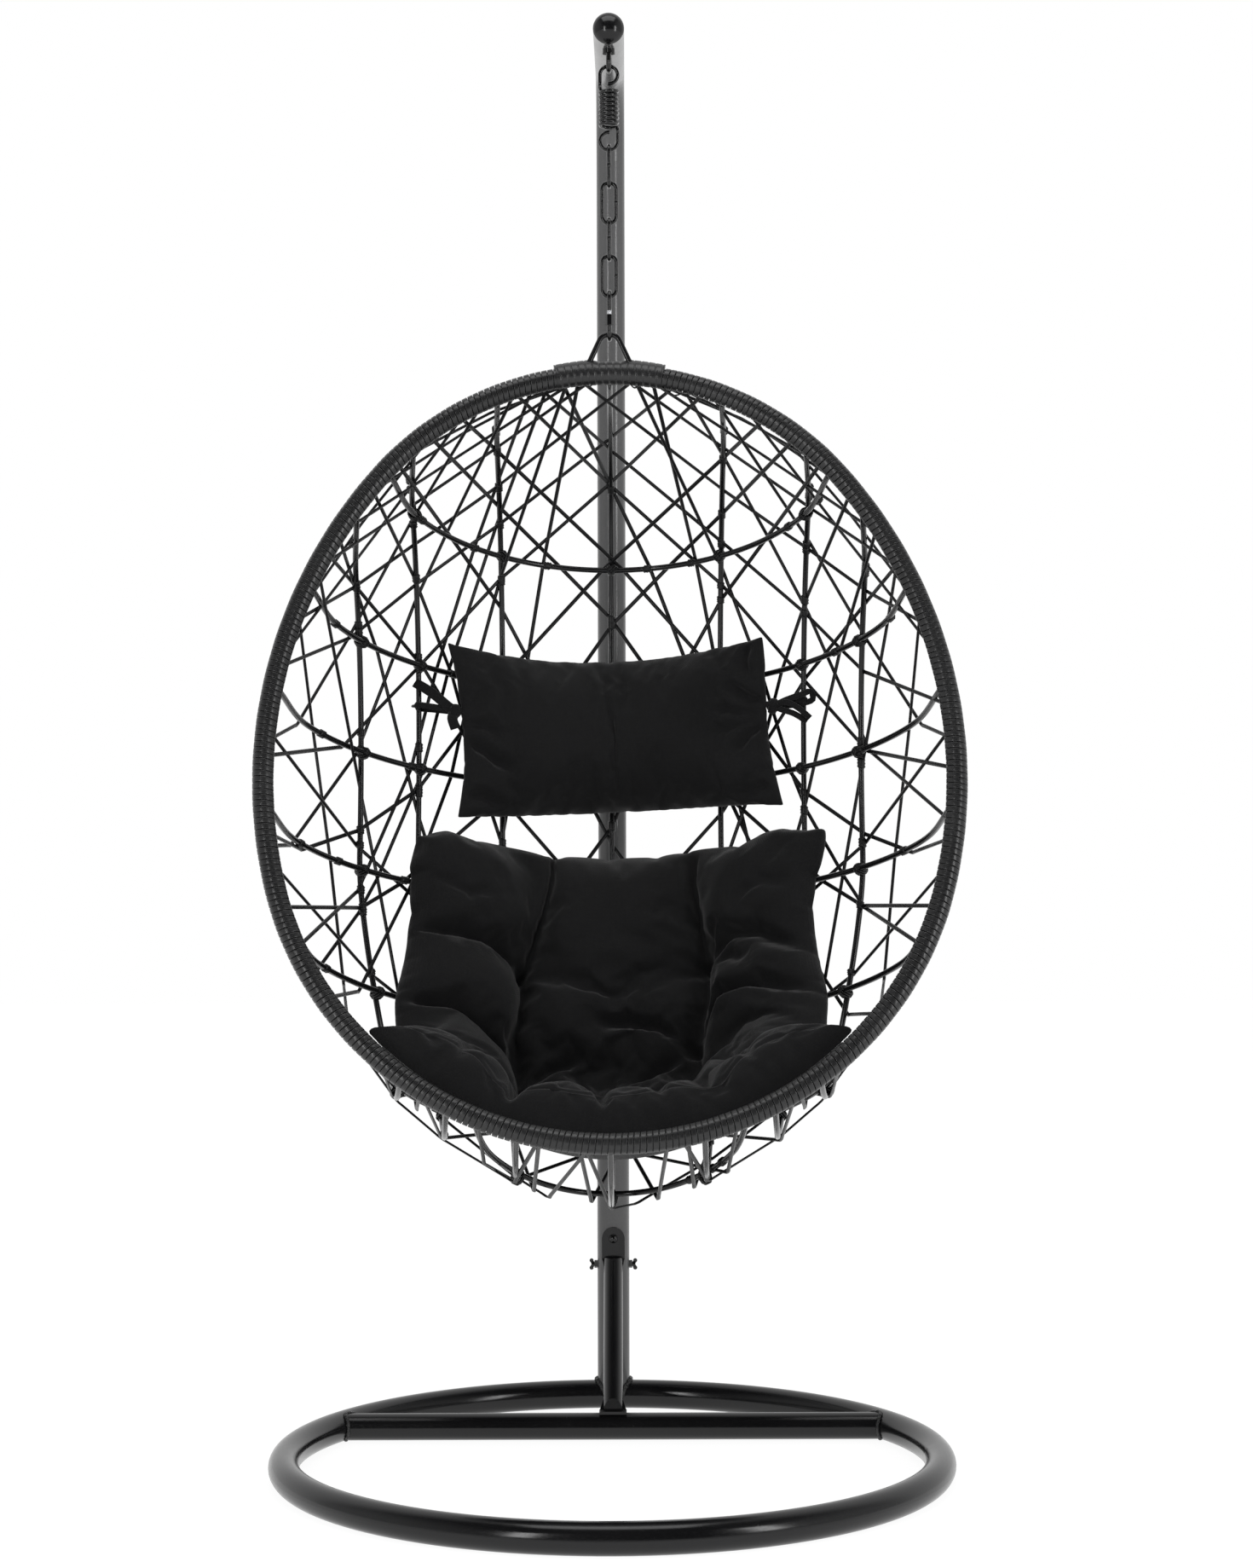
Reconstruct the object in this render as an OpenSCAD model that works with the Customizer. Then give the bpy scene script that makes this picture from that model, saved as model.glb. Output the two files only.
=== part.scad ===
// Hanging egg chair: a wound rim and caned shell swinging on a chain and
// spring from a bent mast that stands on a ring base. Millimetres, +Z up,
// origin on the floor at the centre of the base ring, the mouth faces -Y.

/* [Stand] */
// Radius of the base ring to the middle of its tube
ring_radius = 444; // [420:1:480]
// Outside diameter of the base ring's tube
ring_tube_d = 42; // [36:1:46]
// Wall of the bent and straight steel tubes
tube_wall = 1.5; // [1.2:0.1:2]
// Distance of the cross tube behind the middle of the ring
cross_back = 210; // [180:5:240]
// Outside diameter of the cross tube
cross_tube_d = 38; // [32:1:40]
// Outside diameter of the lower post
post_d = 48; // [46:1:52]
// Wall of the lower post
post_wall = 2.5; // [2:0.1:3]
// Height of the lower post's open top end
post_top = 430; // [380:5:480]
// Play between the lower post's bore and the mast
post_play = 0.5; // [0.3:0.1:0.8]
// Height of the mast's lower end inside the post
mast_foot = 120; // [100:5:160]
// Height at which the mast starts to bend
mast_straight_top = 1870; // [1850:1:2000]
// Bend radius of the mast to the middle of its tube
mast_bend_r = 110; // [90:5:140]
// Slope of the arm below level, in degrees
arm_droop = 4; // [2:0.5:6]
// Length of the arm past the hook, to the tube's open end
arm_overhang = 40; // [34:1:60]
// How far the end cap bulges out of the arm
cap_bulge = 15; // [8:1:20]
// Outside diameter of the brace tube
brace_d = 28; // [24:1:30]
// Height of the bolt that holds the brace to the post
brace_bolt_z = 258; // [250:1:300]
// Thickness of the brace's flattened ends
brace_flat = 4; // [3:0.5:6]
// Diameter of the brace bolt
bolt_d = 8; // [6:1:10]
// Height of the two wing screws
wing_z = 216; // [190:1:230]
// Diameter of the wing screws
wing_screw_d = 6; // [5:1:8]
// Width of a wing screw's wings, tip to tip
wing_span = 17; // [14:1:22]

/* [Suspension] */
// Wire diameter of the eye bolt
eye_wire = 7; // [6:0.5:8]
// Radius of the eye to the middle of its wire
eye_r = 11.5; // [11:0.5:16]
// Wire diameter of the spring
spring_wire = 5; // [4:0.5:5.5]
// Radius of the spring to the middle of its wire
spring_r = 12.2; // [12:0.2:14]
// Number of turns in the spring
spring_turns = 8.5; // [7.5:1:9.5]
// Rise of the spring for each turn
spring_pitch = 6.1; // [6:0.1:7]
// Radius of the spring's hooks to the middle of their wire
hook_r = 12; // [11.5:0.5:13.5]
// Wire diameter of the chain
chain_wire = 5.5; // [5:0.5:6]
// Inside length of a chain link
link_inner = 50; // [46:1:54]
// Radius of a chain link's ends to the middle of its wire
link_r = 9.5; // [9:0.5:11]
// Wire diameter of the quick link
quick_wire = 6; // [5:0.5:7]
// Inside length of the quick link
quick_inner = 58.5; // [54:0.5:64]
// Radius of the quick link's ends to the middle of its wire
quick_r = 10.5; // [10:0.5:12]
// Width across the flats of the quick link's nut
quick_nut_af = 9.6; // [9:0.1:11]
// Rod diameter of the bail on top of the basket
bail_wire = 7.5; // [6.5:0.5:8]
// Radius of the bail's top to the middle of its rod
bail_r = 15; // [13:1:18]
// Spread of the bail's legs away from upright, in degrees
bail_splay = 25; // [20:1:30]
// Height of the top of the bail's rod above the middle of the rim tube
bail_rise = 58; // [54:1:62]
// Free play left where one link hangs in the next
hang_play = 0.3; // [0.25:0.05:0.5]

/* [Basket] */
// How far the basket's mouth leans back from upright, in degrees
basket_tilt = 17; // [14:0.5:20]
// Half the width of the rim, to the middle of its tube
rim_half_w = 453; // [440:1:465]
// Height of the rim along its own plane
rim_h = 1056; // [1030:1:1080]
// Distance from the top of the rim down to its widest place, as a share of its height
rim_widest_at = 0.5284; // [0.516:0.0005:0.5445]
// Radius of the rim's top arc
rim_top_r = 395; // [385:1:405]
// Outside diameter of the rim's steel tube
rim_tube_d = 22; // [20:0.5:23]
// Diameter over the winding on the rim
rim_wrap_d = 26; // [25.5:0.5:29]
// Depth of the shell at the top of the rim
shell_depth_top = 420; // [400:5:440]
// Depth of the shell at the bottom of the rim
shell_depth_bottom = 520; // [500:5:540]
// Diameter of the ribs and hoops
rod_d = 8; // [7:0.5:9]
// Width of the flat cane
cane_w = 5.6; // [4.5:0.1:6.5]
// Thickness of the flat cane
cane_t = 2.4; // [2:0.1:2.8]
// Room between one layer of rods or cane and the next
layer_play = 1.3; // [1.2:0.1:1.8]

/* [Soft goods] */
// Half the width of the seat cushion
seat_half_w = 292; // [270:2:310]
// Depth of the seat cushion's crown
seat_crown = 105; // [80:5:120]
// How far the front of the seat cushion comes forward to the rim, as a share
seat_forward = 0.8; // [0.6:0.05:0.85]
// Half the width of the head pillow
pillow_half_w = 250; // [230:2:260]
// Depth of the head pillow's crown
pillow_crown = 115; // [90:5:130]
// Room between a cushion and the rods behind it
cushion_play = 0.9; // [0.8:0.1:1.5]
// Width of the pillow's ties
tie_w = 12; // [10:1:16]

/* [Hidden] */
$fn = 64;

steel = [0.07, 0.07, 0.075];
cane = [0.11, 0.11, 0.115];
fabric = [0.035, 0.035, 0.037];
zinc = [0.72, 0.73, 0.75];

weld_gap = 0.1;      // root gap of a weld between two coped tubes
screw_play = 0.08;   // radial play of a thread or a running fit
hole_play = 0.25;    // radial play of a bolt in its hole
short = 0.2;         // a bent piece ends this short of the next, inside a bead
bead = 0.05;         // how far that bead stands proud of the tube or rod

// ---------- stand ----------
ring_z = ring_tube_d / 2;
post_y = ring_radius;
post_r = post_d / 2;
mast_r = post_r - post_wall - post_play;
front_of_post = post_y - post_r;
arm_turn = 90 + arm_droop;
arm_start_y = post_y - mast_bend_r * (1 - cos(arm_turn));
arm_start_z = mast_straight_top + mast_bend_r * sin(arm_turn);
arm_len = arm_start_y / cos(arm_droop) + arm_overhang;
arm_at_hook_z = arm_start_z - arm_start_y * tan(arm_droop);

// ---------- suspension heights, from the arm downwards ----------
nut_h = 4.2;
washer_h = 1.6;
collar_h = 3;        // collar between the eye and the arm
eye_z = arm_at_hook_z - mast_r / cos(arm_droop) - collar_h - eye_wire / 2 - eye_r;
eye_low_z = eye_z - eye_r;
hook_top_z = eye_low_z + (eye_wire + spring_wire) / 2 + hang_play;
top_hook_z = hook_top_z - hook_r;
hook_leg = 10;       // straight wire between a hook and the coil
coil_lead = 9;       // rise of the coil's bent-up ends
coil_h = spring_turns * spring_pitch;
coil_top_z = top_hook_z - hook_leg - coil_lead;
coil_low_z = coil_top_z - coil_h;
low_hook_z = coil_low_z - coil_lead - hook_leg;
hook_low_z = low_hook_z - hook_r;
link_span = link_inner + chain_wire;
link_step = link_span - chain_wire - hang_play;
link_1_top = hook_low_z + (spring_wire + chain_wire) / 2 + hang_play;
quick_span = quick_inner + quick_wire;
quick_top = link_1_top - 3 * link_step - link_span + (chain_wire + quick_wire) / 2 + hang_play;
quick_low = quick_top - quick_span;
bail_top_z = quick_low + (quick_wire + bail_wire) / 2 + hang_play;
rim_top_z = bail_top_z + bail_wire / 2 - bail_rise;

// ---------- rim outline: three tangent arcs a side ----------
rim_widest = rim_h * rim_widest_at;
lower_h = rim_h - rim_widest;
side_r = (rim_half_w * rim_half_w - rim_top_r * rim_top_r
    + (rim_widest - rim_top_r) * (rim_widest - rim_top_r)) / (2 * (rim_half_w - rim_top_r));
bottom_r = (rim_half_w * rim_half_w + lower_h * lower_h - 2 * side_r * rim_half_w)
    / (2 * (lower_h - side_r));
side_x = rim_half_w - side_r;
top_centre = rim_top_r;
bottom_centre = rim_h - bottom_r;
top_join = atan2(rim_widest - top_centre, -side_x);
low_join = atan2(bottom_centre - rim_widest, -side_x);
top_join_v = top_centre - rim_top_r * sin(top_join);
low_join_v = bottom_centre + bottom_r * sin(low_join);
wrap_r = rim_wrap_d / 2;

// Half the mouth's width at the distance v below the top of the rim
function mouth(v) =
    v <= 0 || v >= rim_h ? 0
    : v < top_join_v ? sqrt(pow(rim_top_r, 2) - pow(top_centre - v, 2))
    : v > low_join_v ? sqrt(pow(bottom_r, 2) - pow(v - bottom_centre, 2))
    : side_x + sqrt(pow(side_r, 2) - pow(v - rim_widest, 2));

// Place of v between the widest line and the top (-1) or the bottom (1)
function reach(v) = (v - rim_widest) / (v < rim_widest ? rim_widest : lower_h);

// Depth of the shell behind the mouth
squareness = 3.5;
function fullness(v) = pow(max(0, 1 - pow(abs(reach(v)), squareness)), 1 / squareness);
function shell_depth(x, v) =
    (shell_depth_top + (shell_depth_bottom - shell_depth_top) * v / rim_h) * fullness(v)
    * sqrt(max(0, 1 - pow(x / max(mouth(v), 0.001), 2)));

// A point of the shell in the mouth's frame: x across, y behind the mouth,
// z up the mouth, and how far it stands outside the hoops
belly = 0.15;        // how much the low back of the shell sags
function shell_way(x, v, w) = unit([
    x / pow(rim_half_w, 2),
    w / pow(shell_depth_bottom, 2),
    -sign(reach(v)) * pow(abs(reach(v)), 1.6) / rim_widest
]);
function shell_point(x, v, out) =
    let (w = shell_depth(x, v), sag = max(0, reach(v)))
    [x, w, -v - belly * w * sag * sag] + out * shell_way(x, v, w);

// The direction square to the shell, from four places 1 mm away
function shell_normal(x, v) = unit(cross(
    shell_point(x + 1, v, 0) - shell_point(x - 1, v, 0),
    shell_point(x, v + 1, 0) - shell_point(x, v - 1, 0)));

function unit(a) = a / max(norm(a), 1e-9);
function flat(a) = [for (b = a) each b];
function sum_to(a) = [for (i = 0, s = 0; i < len(a); s = s + a[i], i = i + 1) s + a[i]];

// ---------- rods and cane laid over the shell ----------
fine = 72;           // trial steps along a rod or strand
landing = 45;        // depth over which the layers fan out behind the rim
seat_play = 0.4;     // from the ends of the rods and cane to the rim's winding
function eased(i) = (1 - cos(180 * i / fine)) / 2;

// How far along a route the shell is as deep as the landing, by halving
function landed(route, shallow, deep, tries = 24) =
    let (mid = (shallow + deep) / 2, p = route(mid))
    tries == 0 ? deep
    : shell_depth(p[0], p[1]) > landing ? landed(route, shallow, mid, tries - 1)
    : landed(route, mid, deep, tries - 1);

// A line over the shell as [point, direction square to the shell] pairs, with
// more where it bends more. route gives [x, v] for 0..1, half is half the
// line's thickness and sag the most that a step cuts its corner by
function over_shell(route, out, out_rim, half, sag) =
    let (
        land = sqrt(pow(wrap_r, 2) - pow(max(0, abs(out_rim) - half), 2)) + seat_play,
        from = landed(route, 0, 0.5),
        to = landed(route, 1, 0.5),
        on = [for (i = [0 : fine])
            let (p = route(from + (to - from) * eased(i)), n = shell_normal(p[0], p[1]))
            [shell_point(p[0], p[1], 0) + (out + sag / 2) * n, n]],
        cost = [for (i = [1 : fine - 1]) sqrt(turn_at(on[i - 1][0], on[i][0], on[i + 1][0])
            * norm(on[i + 1][0] - on[i][0]) / (8 * sag)) + 0.02],
        run = sum_to(cost),
        total = run[len(run) - 1],
        steps = max(3, ceil(total)),
        table = [[0, 0], for (i = [0 : len(run) - 1]) [run[i], i + 1], [total + 0.01, fine]]
    )
    [rim_end(route(0), out_rim, land),
     for (k = [0 : steps]) on[k == steps ? fine : round(lookup(total * k / steps, table))],
     rim_end(route(1), out_rim, land)];

function turn_at(a, b, c) = acos(min(1, unit(b - a) * unit(c - b))) * PI / 180;

// The direction out of the rim in the mouth's plane
function rim_way(x, v) = unit(
    v < top_join_v ? [x, 0, top_centre - v]
    : v > low_join_v ? [x, 0, bottom_centre - v]
    : [sign(x) * (abs(x) - side_x), 0, rim_widest - v]);
function rim_end(p, out_rim, land) =
    [[p[0], land, -p[1]] + out_rim * rim_way(p[0], p[1]), rim_way(p[0], p[1])];

// A rim place by its clock angle: 0 at the top, 90 right, -90 left
function rim_spot(clock) =
    let (v = rim_widest - (cos(clock) > 0 ? rim_widest : lower_h) * cos(clock))
    [sign(sin(clock)) * mouth(v), v];

// Strands start steeply backwards under the top of the rim, so that they look
// straight from the front: how high a strand lies where its chord is at level v
front_drop = 0.31;
function drop_share(v) = let (t = max(0, min(1, (rim_widest - v) / (rim_widest - 150)))) t * t * (3 - 2 * t);
function hung(x, v, low, high, tries = 26) =
    let (mid = (low + high) / 2)
    tries == 0 ? mid
    : mid + front_drop * drop_share(mid) * shell_depth(x, mid) < v ? hung(x, v, mid, high, tries - 1)
    : hung(x, v, low, mid, tries - 1);

function strand_route(pair) =
    let (a = rim_spot(pair[0]), b = rim_spot(pair[1]))
    function (t) let (p = a + (b - a) * t) p[1] > rim_widest ? p : [p[0], hung(p[0], p[1], 0, p[1])];

hoop_at = [for (a = [0.1316, 0.2888, 0.4233, 0.5795, 0.7367, 0.8807, 0.964]) a * rim_h];
function hoop_route(v) = let (half = mouth(v)) function (t) [-half * cos(180 * t), v];

inner_rib_x = 0.3422 * rim_half_w;
middle_rib_x = 0.596 * rim_half_w;
outer_rib_x = 0.7616 * rim_half_w;
gather_from = 0.568 * rim_h; // below this the ribs draw together
gather = 0.22;
function top_v(x) =
    let (v = top_centre - sqrt(max(0, pow(rim_top_r, 2) - x * x)))
    v <= top_join_v ? v : rim_widest - sqrt(pow(side_r, 2) - pow(abs(x) - side_x, 2));
function low_v(x) =
    let (end = abs(x) * (1 - gather), v = bottom_centre + sqrt(pow(bottom_r, 2) - end * end))
    v >= low_join_v ? v : rim_widest + sqrt(pow(side_r, 2) - pow(end - side_x, 2));
function rib_route(x) =
    let (v0 = top_v(x), v1 = low_v(x))
    function (t)
        let (v = v0 + (v1 - v0) * t, near = max(0, (v - gather_from) / (v1 - gather_from)))
        [x * (1 - gather * pow(near, 1.5)), v];

// How far each layer stands outside the hoops, on the shell and on the rim
rib_out = rod_d + layer_play;
cane_out = rib_out + rod_d / 2 + layer_play + cane_t / 2;
cane_step = cane_t + layer_play;
rod_on_rim = -9;
cane_on_rim = -2.5;
rim_step = 3;
rod_sag = 1;
cane_sag = 1.4;

// A closed tube along a line of [point, outward direction] pairs, its end faces
// level with the mouth; section is [[side, out], ...]
module sweep(line, section) {
    n = len(line);
    way = [for (i = [0 : n - 1])
        i == 0 ? [0, 1, 0] : i == n - 1 ? [0, -1, 0] : unit(line[i + 1][0] - line[i - 1][0])];
    ring = flat([for (i = [0 : n - 1])
        let (
            side = unit(cross(way[i], line[i][1])),
            out = cross(side, way[i])
        )
        [for (s = section) line[i][0] + s[0] * side + s[1] * out]]);
    tube_skin(ring, n, len(section));
}

// Skin over n rings of m points, closed with a flat face at each end
module tube_skin(ring, n, m) {
    faces = [
        for (i = [0 : n - 2]) for (j = [0 : m - 1])
            let (a = i * m + j, b = i * m + (j + 1) % m)
            each [[a, b, b + m], [a, b + m, a + m]],
        for (j = [1 : m - 2]) each [
            [0, j + 1, j],
            [(n - 1) * m, (n - 1) * m + j, (n - 1) * m + j + 1]],
    ];
    polyhedron(ring, faces);
}

rod_section = [for (k = [0 : 5]) rod_d / 2 * [cos(60 * k), sin(60 * k)]];
cane_section = [
    [-cane_w / 2, -cane_t / 2], [cane_w / 2, -cane_t / 2],
    [cane_w / 2, cane_t / 2], [-cane_w / 2, cane_t / 2]];

// The strands of each layer as clock angles on the rim, hand chosen; within
// a layer none cross
rising_right = [
    [-37, -5], [-45, -9], [-53, -6], [-59, -3], [-68, 4], [-75, 11], [-88, 16],
    [-100, 27], [-112, 33], [-138, 39], [-175, 46], [168, 53], [149, 59], [132, 67]];
rising_left = [
    [40, 7], [44, 11], [54, 7], [60, 3], [69, -5], [81, -12], [90, -16],
    [101, -26], [112, -32], [141, -39], [171, -45], [-169, -54], [-149, -60], [-134, -67]];
left_side = [
    [-60, -38], [-68, -31], [-74, -25], [-86, -22], [-102, -16], [-119, -13],
    [-128, -7], [-141, 59], [-149, 84], [-159, 105], [-176, 120], [169, 129]];
right_side = [
    [55, 33], [67, 28], [74, 23], [86, 17], [99, 12], [119, 4], [131, -8],
    [141, -57], [150, -84], [160, -104], [-177, -119], [-169, -130]];
steep = [[-10, -121], [-5, -148], [7, 142]];

// Puts what is drawn in the mouth's frame into place
module in_basket() {
    translate([0, 0, rim_top_z]) rotate([-basket_tilt, 0, 0]) children();
}

module rod(route, out) {
    color(steel) in_basket() sweep(over_shell(route, out, rod_on_rim, rod_d / 2, rod_sag), rod_section);
}

module cane_layer(pairs, level) {
    color(cane) in_basket() for (pair = pairs)
        sweep(over_shell(strand_route(pair), cane_out + level * cane_step,
            cane_on_rim + level * rim_step, cane_t / 2, cane_sag), cane_section);
}

// ---------- stand pieces ----------
module ring_solid(grow) {
    translate([0, 0, ring_z]) rotate_extrude($fn = 128)
        translate([ring_radius, 0]) circle(ring_tube_d / 2 + grow);
}

module base_ring() {
    color(steel) difference() {
        ring_solid(0);
        ring_solid(-tube_wall);
    }
}

module cross_tube() {
    half = sqrt(pow(ring_radius, 2) - pow(cross_back, 2));
    color(steel) difference() {
        translate([-half, cross_back, ring_z]) rotate([0, 90, 0]) cylinder(h = 2 * half, d = cross_tube_d);
        translate([-half - 1, cross_back, ring_z]) rotate([0, 90, 0])
            cylinder(h = 2 * half + 2, d = cross_tube_d - 2 * tube_wall);
        ring_solid(weld_gap);
    }
}

// A hole through the post along Y, and one along X
module along_y(r, z) {
    translate([0, post_y, z]) rotate([90, 0, 0]) cylinder(h = 4 * post_d, r = r, center = true);
}
module along_x(r, z) {
    translate([0, post_y, z]) rotate([0, 90, 0]) cylinder(h = 4 * post_d, r = r, center = true);
}

module lower_post() {
    color(steel) difference() {
        translate([0, post_y, ring_z]) cylinder(h = post_top - ring_z, d = post_d);
        translate([0, post_y, 0]) cylinder(h = post_top + 1, r = post_r - post_wall);
        ring_solid(weld_gap);
        along_y(bolt_d / 2 + hole_play, brace_bolt_z);
        along_x(wing_screw_d / 2 + hole_play, wing_z);
    }
}

module mast_solid(r, extra) {
    cut = short / mast_bend_r * 180 / PI;
    translate([0, post_y, mast_foot - extra]) cylinder(h = mast_straight_top - mast_foot + extra, r = r);
    translate([0, post_y - mast_bend_r, mast_straight_top]) rotate([90, 0, 90])
        rotate_extrude(angle = arm_turn - cut) translate([mast_bend_r, 0]) circle(r);
    translate([0, arm_start_y, arm_start_z]) rotate([90 + arm_droop, 0, 0]) {
        translate([0, 0, short]) cylinder(h = arm_len - short + extra, r = r);
        cylinder(h = 2, r = r + bead, center = true);
    }
}

module mast() {
    color(steel) difference() {
        mast_solid(mast_r, 0);
        mast_solid(mast_r - tube_wall, 1);
        along_y(bolt_d / 2 + hole_play, brace_bolt_z);
        translate([0, 0, arm_at_hook_z]) cylinder(h = 4 * mast_r, r = eye_wire / 2 + hole_play, center = true);
    }
}

// Puts what is drawn along +Z onto the arm's axis at its open end
module on_arm_end() {
    translate([0, -arm_overhang * cos(arm_droop), arm_at_hook_z - arm_overhang * sin(arm_droop)])
        rotate([90 + arm_droop, 0, 0]) children();
}

module mast_cap() {
    ball_r = (mast_r * mast_r + cap_bulge * cap_bulge) / (2 * cap_bulge);
    plug_h = 18;
    color(steel) on_arm_end() {
        translate([0, 0, -plug_h]) cylinder(h = plug_h, r = mast_r - tube_wall - screw_play);
        intersection() {
            translate([0, 0, cap_bulge - ball_r]) sphere(ball_r);
            cylinder(h = cap_bulge + 1, r = mast_r);
        }
    }
}

// The brace runs from the cross tube's top up to the post's front
brace_foot = [cross_back + 3, ring_z + cross_tube_d / 2 + brace_flat / 2];
brace_head = [front_of_post - brace_flat / 2 - weld_gap, brace_bolt_z];
brace_rise = atan2(brace_head[1] - brace_foot[1] - 30, brace_head[0] - brace_foot[0]);
brace_bend = brace_head - [0, 30];
brace_lift = norm(brace_bend - brace_foot);

// The round tube pressed flat towards both ends, with a plate at each
module brace_tube() {
    taper = 26;
    foot_w = brace_d + 11;
    head_w = brace_d + 6;
    color(steel) difference() {
        union() {
            translate([0, brace_foot[0], brace_foot[1]]) rotate([brace_rise - 90, 0, 0]) {
                intersection() {
                    translate([0, 0, -brace_d]) cylinder(h = brace_lift + 2 * brace_d, d = brace_d);
                    rotate([0, 90, 0]) rotate([0, 0, 90]) linear_extrude(2 * brace_d, center = true) polygon([
                        [-brace_flat / 2, -1], [-brace_d, taper], [-brace_d, brace_lift - taper],
                        [-brace_flat / 2, brace_lift + 1], [brace_flat / 2, brace_lift + 1],
                        [brace_d, brace_lift - taper], [brace_d, taper], [brace_flat / 2, -1]]);
                }
                rotate([90, 0, 0]) linear_extrude(brace_flat - 0.2, center = true) polygon([
                    [-foot_w / 2, -1], [foot_w / 2, -1], [brace_d / 2 - 2, taper], [brace_d / 2 - 2, brace_lift - taper],
                    [head_w / 2, brace_lift + 1], [-head_w / 2, brace_lift + 1],
                    [2 - brace_d / 2, brace_lift - taper], [2 - brace_d / 2, taper]]);
            }
            translate([0, brace_head[0], 0]) rotate([90, 0, 0]) linear_extrude(brace_flat, center = true) {
                translate([-head_w / 2, brace_bend[1] - 1]) square([head_w, brace_bolt_z - brace_bend[1] + 1]);
                translate([0, brace_bolt_z]) circle(head_w / 2);
            }
            translate([-foot_w / 2, brace_foot[0] - 16, brace_foot[1] - brace_flat / 2])
                cube([foot_w, 18, brace_flat]);
        }
        along_y(bolt_d / 2 + hole_play, brace_bolt_z);
        translate([0, cross_back, ring_z]) rotate([0, 90, 0])
            cylinder(h = 2 * brace_d, r = cross_tube_d / 2 + weld_gap, center = true);
        translate([0, post_y, 0]) cylinder(h = post_top, r = post_r + weld_gap);
    }
}

head_r = 0.85 * bolt_d;
head_h = 0.5 * bolt_d;
brace_nut_h = 0.8 * bolt_d;
hex_ratio = 1 / cos(30);

module brace_bolt() {
    front = brace_head[0] - brace_flat / 2 - weld_gap;
    back = post_y + post_r + brace_nut_h + 3;
    ball_r = (head_r * head_r + head_h * head_h) / (2 * head_h);
    color(steel) translate([0, front, brace_bolt_z]) rotate([-90, 0, 0]) {
        cylinder(h = back - front, d = bolt_d);
        intersection() {
            translate([0, 0, ball_r - head_h]) sphere(ball_r);
            translate([0, 0, -head_h]) cylinder(h = head_h, r = head_r);
        }
    }
}

module brace_nut() {
    color(steel) difference() {
        translate([0, post_y + post_r - 2, brace_bolt_z]) rotate([-90, 0, 0])
            cylinder(h = brace_nut_h + 2, r = head_r * hex_ratio, $fn = 6);
        along_y(bolt_d / 2 + screw_play, brace_bolt_z);
        translate([0, post_y, brace_bolt_z]) cylinder(h = 4 * bolt_d, r = post_r + weld_gap, center = true);
    }
}

// Weld nut and wing screw on the post's side: 1 right, -1 left
clamp_h = 4.5;
module on_post_side(side) {
    translate([0, post_y, wing_z]) rotate([0, 90 * side, 0]) children();
}

module clamp_nut(side) {
    color(steel) difference() {
        on_post_side(side) translate([0, 0, post_r - 2])
            cylinder(h = clamp_h + 2, r = 0.85 * wing_screw_d * hex_ratio, $fn = 6);
        on_post_side(side) cylinder(h = 2 * post_d, r = wing_screw_d / 2 + screw_play);
        translate([0, post_y, wing_z]) cylinder(h = 4 * wing_screw_d, r = post_r + weld_gap, center = true);
    }
}

wing_hub_h = 4;
module wing_screw(side) {
    seat = post_r + clamp_h + hang_play;
    tip = mast_r + hang_play;
    lobe = wing_span * 0.18;
    color(steel) on_post_side(side) {
        translate([0, 0, tip]) cylinder(h = seat - tip, d = wing_screw_d);
        translate([0, 0, seat]) cylinder(h = wing_hub_h, d = wing_screw_d + 2.5);
        for (end = [-1, 1]) rotate([90, 0, 0]) linear_extrude(2, center = true) {
            translate([end * (wing_span / 2 - lobe), seat + wing_hub_h]) circle(lobe);
            polygon([[0, seat + 0.5], [end * wing_span / 3, seat + 1],
                [end * (wing_span / 2 - lobe), seat + wing_hub_h + lobe], [0, seat + wing_hub_h]]);
        }
    }
}

// ---------- suspension pieces ----------
module arm_solid(r) {
    translate([0, arm_start_y, arm_start_z]) rotate([90 + arm_droop, 0, 0]) cylinder(h = arm_len, r = r);
}

arm_top_z = arm_at_hook_z + mast_r / cos(arm_droop);
module eye_bolt() {
    color(steel) {
        translate([0, 0, eye_z]) rotate([0, 90, 0]) rotate_extrude() translate([eye_r, 0]) circle(eye_wire / 2);
        translate([0, 0, eye_z + eye_r]) cylinder(
            h = arm_top_z + washer_h + nut_h + 0.8 - eye_z - eye_r, r = eye_wire / 2);
        difference() {
            translate([0, 0, eye_z + eye_r]) cylinder(h = collar_h + 4, r = eye_wire + 1.5);
            arm_solid(mast_r + weld_gap);
        }
    }
}

module eye_nut() {
    color(steel) difference() {
        union() {
            translate([0, 0, arm_top_z - 2]) cylinder(h = washer_h + 2, r = eye_wire + 1.5);
            translate([0, 0, arm_top_z]) cylinder(h = washer_h + nut_h, r = 0.85 * eye_wire * hex_ratio, $fn = 6);
        }
        translate([0, 0, arm_at_hook_z]) cylinder(h = 3 * mast_r, r = eye_wire / 2 + screw_play);
        arm_solid(mast_r + weld_gap);
    }
}

// A bar between two points of the XZ plane, and an arc in it
module bar(a, b, r) {
    translate([a[0], 0, a[1]]) rotate([0, atan2(b[0] - a[0], b[1] - a[1]), 0]) cylinder(h = norm(b - a), r = r);
}
module arc(centre, radius, from, turn, r) {
    translate([centre[0], 0, centre[1]]) rotate([90, 0, 0]) rotate([0, 0, from])
        rotate_extrude(angle = turn) translate([radius, 0]) circle(r);
}

hook_turn = 275;
module hook_above(z) {
    color(steel) translate([0, 0, z]) {
        translate([-hook_r, 0, -hook_leg]) cylinder(h = hook_leg, r = spring_wire / 2);
        mirror([1, 0, 0]) arc([0, 0], hook_r, 0, hook_turn, spring_wire / 2);
    }
}

module spring_top_hook() {
    hook_above(top_hook_z);
}

module spring_bottom_hook() {
    translate([0, 0, 2 * low_hook_z]) rotate([0, 180, 0]) hook_above(low_hook_z);
}

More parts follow.
